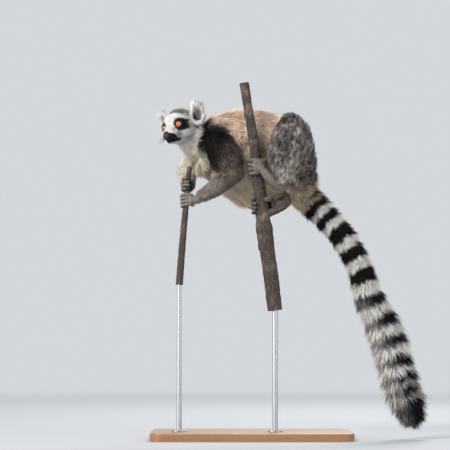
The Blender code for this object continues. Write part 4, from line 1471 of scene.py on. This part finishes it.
# perch: cut stems with fissured bark, a stub, scars and sawn ends; shades are dark, light and pale
stems = {
    "stem": {
        "line": [
            ((-16, -55, 781), 10.5), ((-7, -55, 723), 10), ((1, -55, 679), 10.5), ((9, -55, 624), 11.5),
            ((15, -55, 569), 13), ((22, -55, 514), 14.5), ((25, -55, 481), 15.5), ((28, -55, 459), 19),
            ((34, -55, 415), 16.5), ((42, -55, 360), 16.5), ((51, -55, 282), 16),
        ],
        "sides": 64, "step": 1.8, "relief": 1.25, "seed": 40, "look": "barkStem", "grain": 1,
        "shades": ((28, 21, 18), (64, 51, 44), (118, 105, 96)),
    },
    "twig": {
        "line": [
            ((-158, -46, 338), 8), ((-152, -40, 420), 7.5), ((-143, -28, 525), 6.5), ((-141, -18, 557), 6.2),
            ((-136, -10, 600), 5.5),
        ],
        "sides": 40, "step": 1.8, "relief": 0.6, "seed": 41, "look": "barkTwig", "grain": 1.5,
        "shades": ((32, 24, 22), (64, 52, 47), (112, 101, 96)),
    },
}
stub = {  # a sawn side branch of the stem
    "line": [((22, -57, 488), 9), ((48, -62, 498), 8), ((74, -67, 509), 6.5)],
    "sides": 30, "step": 2.2, "relief": 0.6, "seed": 47,
}
scars = [  # share down the stem, turn round it, size
    (0.14, 2.2, 1.5), (0.3, 4.1, 1.3), (0.47, 0.6, 1.6), (0.72, 3.0, 1.9), (0.86, 5.2, 1.4),
]


def barkRelief(along, turn, radius, relief, seed):  # ridges, cracks, bumps and scars, as heights
    rounded = (along[:, None] / 14, np.cos(turn)[None] * 3, np.sin(turn)[None] * 3)
    around = np.stack(np.broadcast_arrays(*rounded), -1).reshape(-1, 3)
    ridges = 1 - np.abs(wander(around, 0.62, seed)).clip(0, 1)
    cracks = 1 - np.abs(wander(around * np.array([0.6, 1.6, 1.6]), 0.55, seed + 2)).clip(0, 1)
    bumps = wander(around * np.array([2.2, 1, 1]), 1.1, seed + 1)
    raised = (0.55 * ridges ** 2 - 0.9 * cracks ** 8 + 0.28 * bumps).reshape(len(along), len(turn)) * relief
    for down, where, size in scars:
        aside = np.sin((turn[None] - where) / 2) * 2 * radius[:, None] / (size * 4)
        gap = np.hypot((along[:, None] / along[-1] - down) * along[-1] / (size * 3), aside)
        raised += relief * size * (1.1 * np.exp(-((gap - 0.9) / 0.35) ** 2) - 0.8 * np.exp(-(gap / 0.5) ** 2))
    return raised


def barkTube(plan):  # rings swept down a smooth line, with the bark's relief
    sides, relief = plan["sides"], plan["relief"]
    points = np.array([point for point, _ in plan["line"]], float)
    radii = np.array([radius for _, radius in plan["line"]], float)
    knots = np.concatenate([[0], np.cumsum(lengths(np.diff(points, axis=0)))])
    rings = max(8, int(knots[-1] / plan["step"]))
    along = np.linspace(0, knots[-1], rings)
    centre = np.stack([np.interp(along, knots, points[:, i]) for i in range(3)], 1)
    for _ in range(6):
        centre[1:-1] = (centre[:-2] + 2 * centre[1:-1] + centre[2:]) / 4
    radius = np.interp(along, knots, radii)
    forward = unit(np.gradient(centre, axis=0))
    side = unit(np.cross(forward, np.array([0.3, 1, 0.1])))
    other = np.cross(forward, side)
    turn = np.linspace(0, 2 * math.pi, sides, endpoint=False)
    ring = np.cos(turn)[None, :, None] * side[:, None] + np.sin(turn)[None, :, None] * other[:, None]
    raised = barkRelief(along, turn, radius, relief, plan["seed"])
    ends = np.minimum(1, np.minimum(np.arange(rings), np.arange(rings)[::-1]) / 1.5)[:, None]
    surface = centre[:, None] + ring * (radius[:, None] - 0.3 * relief + raised * ends)[..., None]
    form = bmesh.new()
    sawn = form.verts.layers.float.new("sawn")
    verts = [[form.verts.new(point) for point in row] for row in surface * mm]
    for upper, lower in zip(verts, verts[1:]):
        for i in range(sides):
            form.faces.new((upper[i - 1], upper[i], lower[i], lower[i - 1]))
    for row, size in ((verts[0], radii[0]), (verts[-1], radii[-1])):
        cap = form.faces.new(row)
        for growth in range(4):  # a rim of bark, then growth rings in the sawn wood
            inward, down = size * 0.19 * mm, (0.25 if growth % 2 else -0.35) * mm
            bmesh.ops.inset_region(form, faces=[cap], thickness=inward, depth=down)
            for vert in cap.verts:
                vert[sawn] = 1
    bmesh.ops.recalc_face_normals(form, faces=form.faces)
    return toMesh(form)


def barkLook(name, dark, light, pale, grain):
    look = Surface(name, Roughness=0.85)
    place = look.place()
    fissure = look.noise(look.place((1, 1, 0.16)), 300 * grain, 6, 1.2)
    patches = look.noise(place, 30, 4)
    fine = look.noise(place, 900, 3)
    colour = look.mix(fissure.between(0.42, 0.58), dark, light)
    colour = look.mix(patches.between(0.5, 0.66) * fissure.between(0.35, 0.6) * 0.8, colour, pale)
    spots = look.add("TexVoronoi", None, "Distance", Vector=look.place((1, 1, 1.8)), Scale=130 * grain)
    colour = look.mix((1 - spots.between(0.12, 0.24)) * 0.7, colour, pale)
    colour = look.mix(look.noise(place, 90, 3).between(0.6, 0.7) * 0.7, colour, dark)
    colour = look.mix(fine.between(0.35, 0.7) * 0.3, colour, pale)
    wood = look.mix(look.noise(place, 500, 3), paint(150, 118, 84), paint(206, 176, 134))
    cut = look.add("Attribute", {"attribute_name": "sawn"}, "Fac")
    look.set(Base_Color=look.mix(cut.between(0.3, 0.7), colour, wood))
    look.bump(fissure * 0.65 + fine * 0.2 + (1 - spots.between(0.1, 0.3)) * 0.25, 0.8, 0.0016)
    return look


for name, plan in stems.items():
    form = barkTube(plan)
    if name == "stem":
        form = united(form, barkTube(stub))
    look = barkLook(plan["look"], *(paint(*shade) for shade in plan["shades"]), plan["grain"])
    perch = smoothPiece("bark_" + name, form, look)
    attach(perch, "root")
    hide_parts("perch_" + name)
print("eyes, nose, nails, perch")

# staging: camera, floor and soft studio light
camera = {"place": (-0.058, -4.5, 0.2), "aim": (-0.058, 0, 0.472), "width": 0.996, "sensor": 36}
studio = {
    "sky": (222, 225, 229), "strength": 0.9,
    "floor": (170, 172, 175), "radius": 6, "fadeOut": (1.2, 5.5),
}
lights = {  # name: (place, aim, size, watts, colour)
    "key": ((-2.2, -2.8, 3.0), (0, 0, 0.5), 1.2, 150, (1, 0.97, 0.93)),
    "fill": ((2.8, -2.4, 1.4), (0, 0, 0.5), 2.4, 36, (0.93, 0.96, 1)),
    "low": ((-2.6, -2.0, 0.5), (-0.1, 0, 0.5), 1.8, 36, (1, 0.98, 0.95)),
    "rim": ((0.8, 2.6, 2.6), (0, 0, 0.6), 1.6, 90, (1, 1, 1)),
}


def turned(obj, place, aim):
    obj.location = place
    obj.rotation_euler = (Vector(aim) - Vector(place)).to_track_quat("-Z", "Y").to_euler()
    scene.collection.objects.link(obj)


viewer = bpy.data.objects.new("camera", bpy.data.cameras.new("camera"))
turned(viewer, camera["place"], camera["aim"])
viewer.data.sensor_width = camera["sensor"]
aimed = Vector(camera["aim"]) - Vector(camera["place"])
viewer.data.lens = camera["sensor"] * aimed.length / camera["width"]
viewer.data.clip_end = 60
scene.camera = viewer
for name, (place, aim, size, watts, tint) in lights.items():
    lamp = bpy.data.objects.new(name, bpy.data.lights.new(name, "AREA"))
    lamp.data.size, lamp.data.energy, lamp.data.color = size, watts, tint
    turned(lamp, place, aim)
world = bpy.data.worlds.new("studio")
world.use_nodes = True
sky = world.node_tree.nodes["Background"]
sky.inputs[0].default_value = (*paint(*studio["sky"]), 1)
sky.inputs[1].default_value = studio["strength"]
scene.world = world
scene.view_settings.view_transform = "Standard"

floorForm = bmesh.new()
bmesh.ops.create_circle(floorForm, cap_ends=True, segments=96, radius=studio["radius"])
floor = newObject("floor", toMesh(floorForm))
floorLook = Surface("floorLook", Roughness=0.85)
floorLook.set(Base_Color=(*paint(*studio["floor"]), 1))
spot = floorLook.add("VectorMath", {"operation": "LENGTH"}, "Value", Vector=floorLook.place())
floorLook.set(Alpha=1 - spot.between(*studio["fadeOut"]))
dress(floor, floorLook)
floor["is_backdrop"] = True

size = {"solids": [list(corner) for corner in solidBox], "dressed": [list(corner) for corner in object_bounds()]}
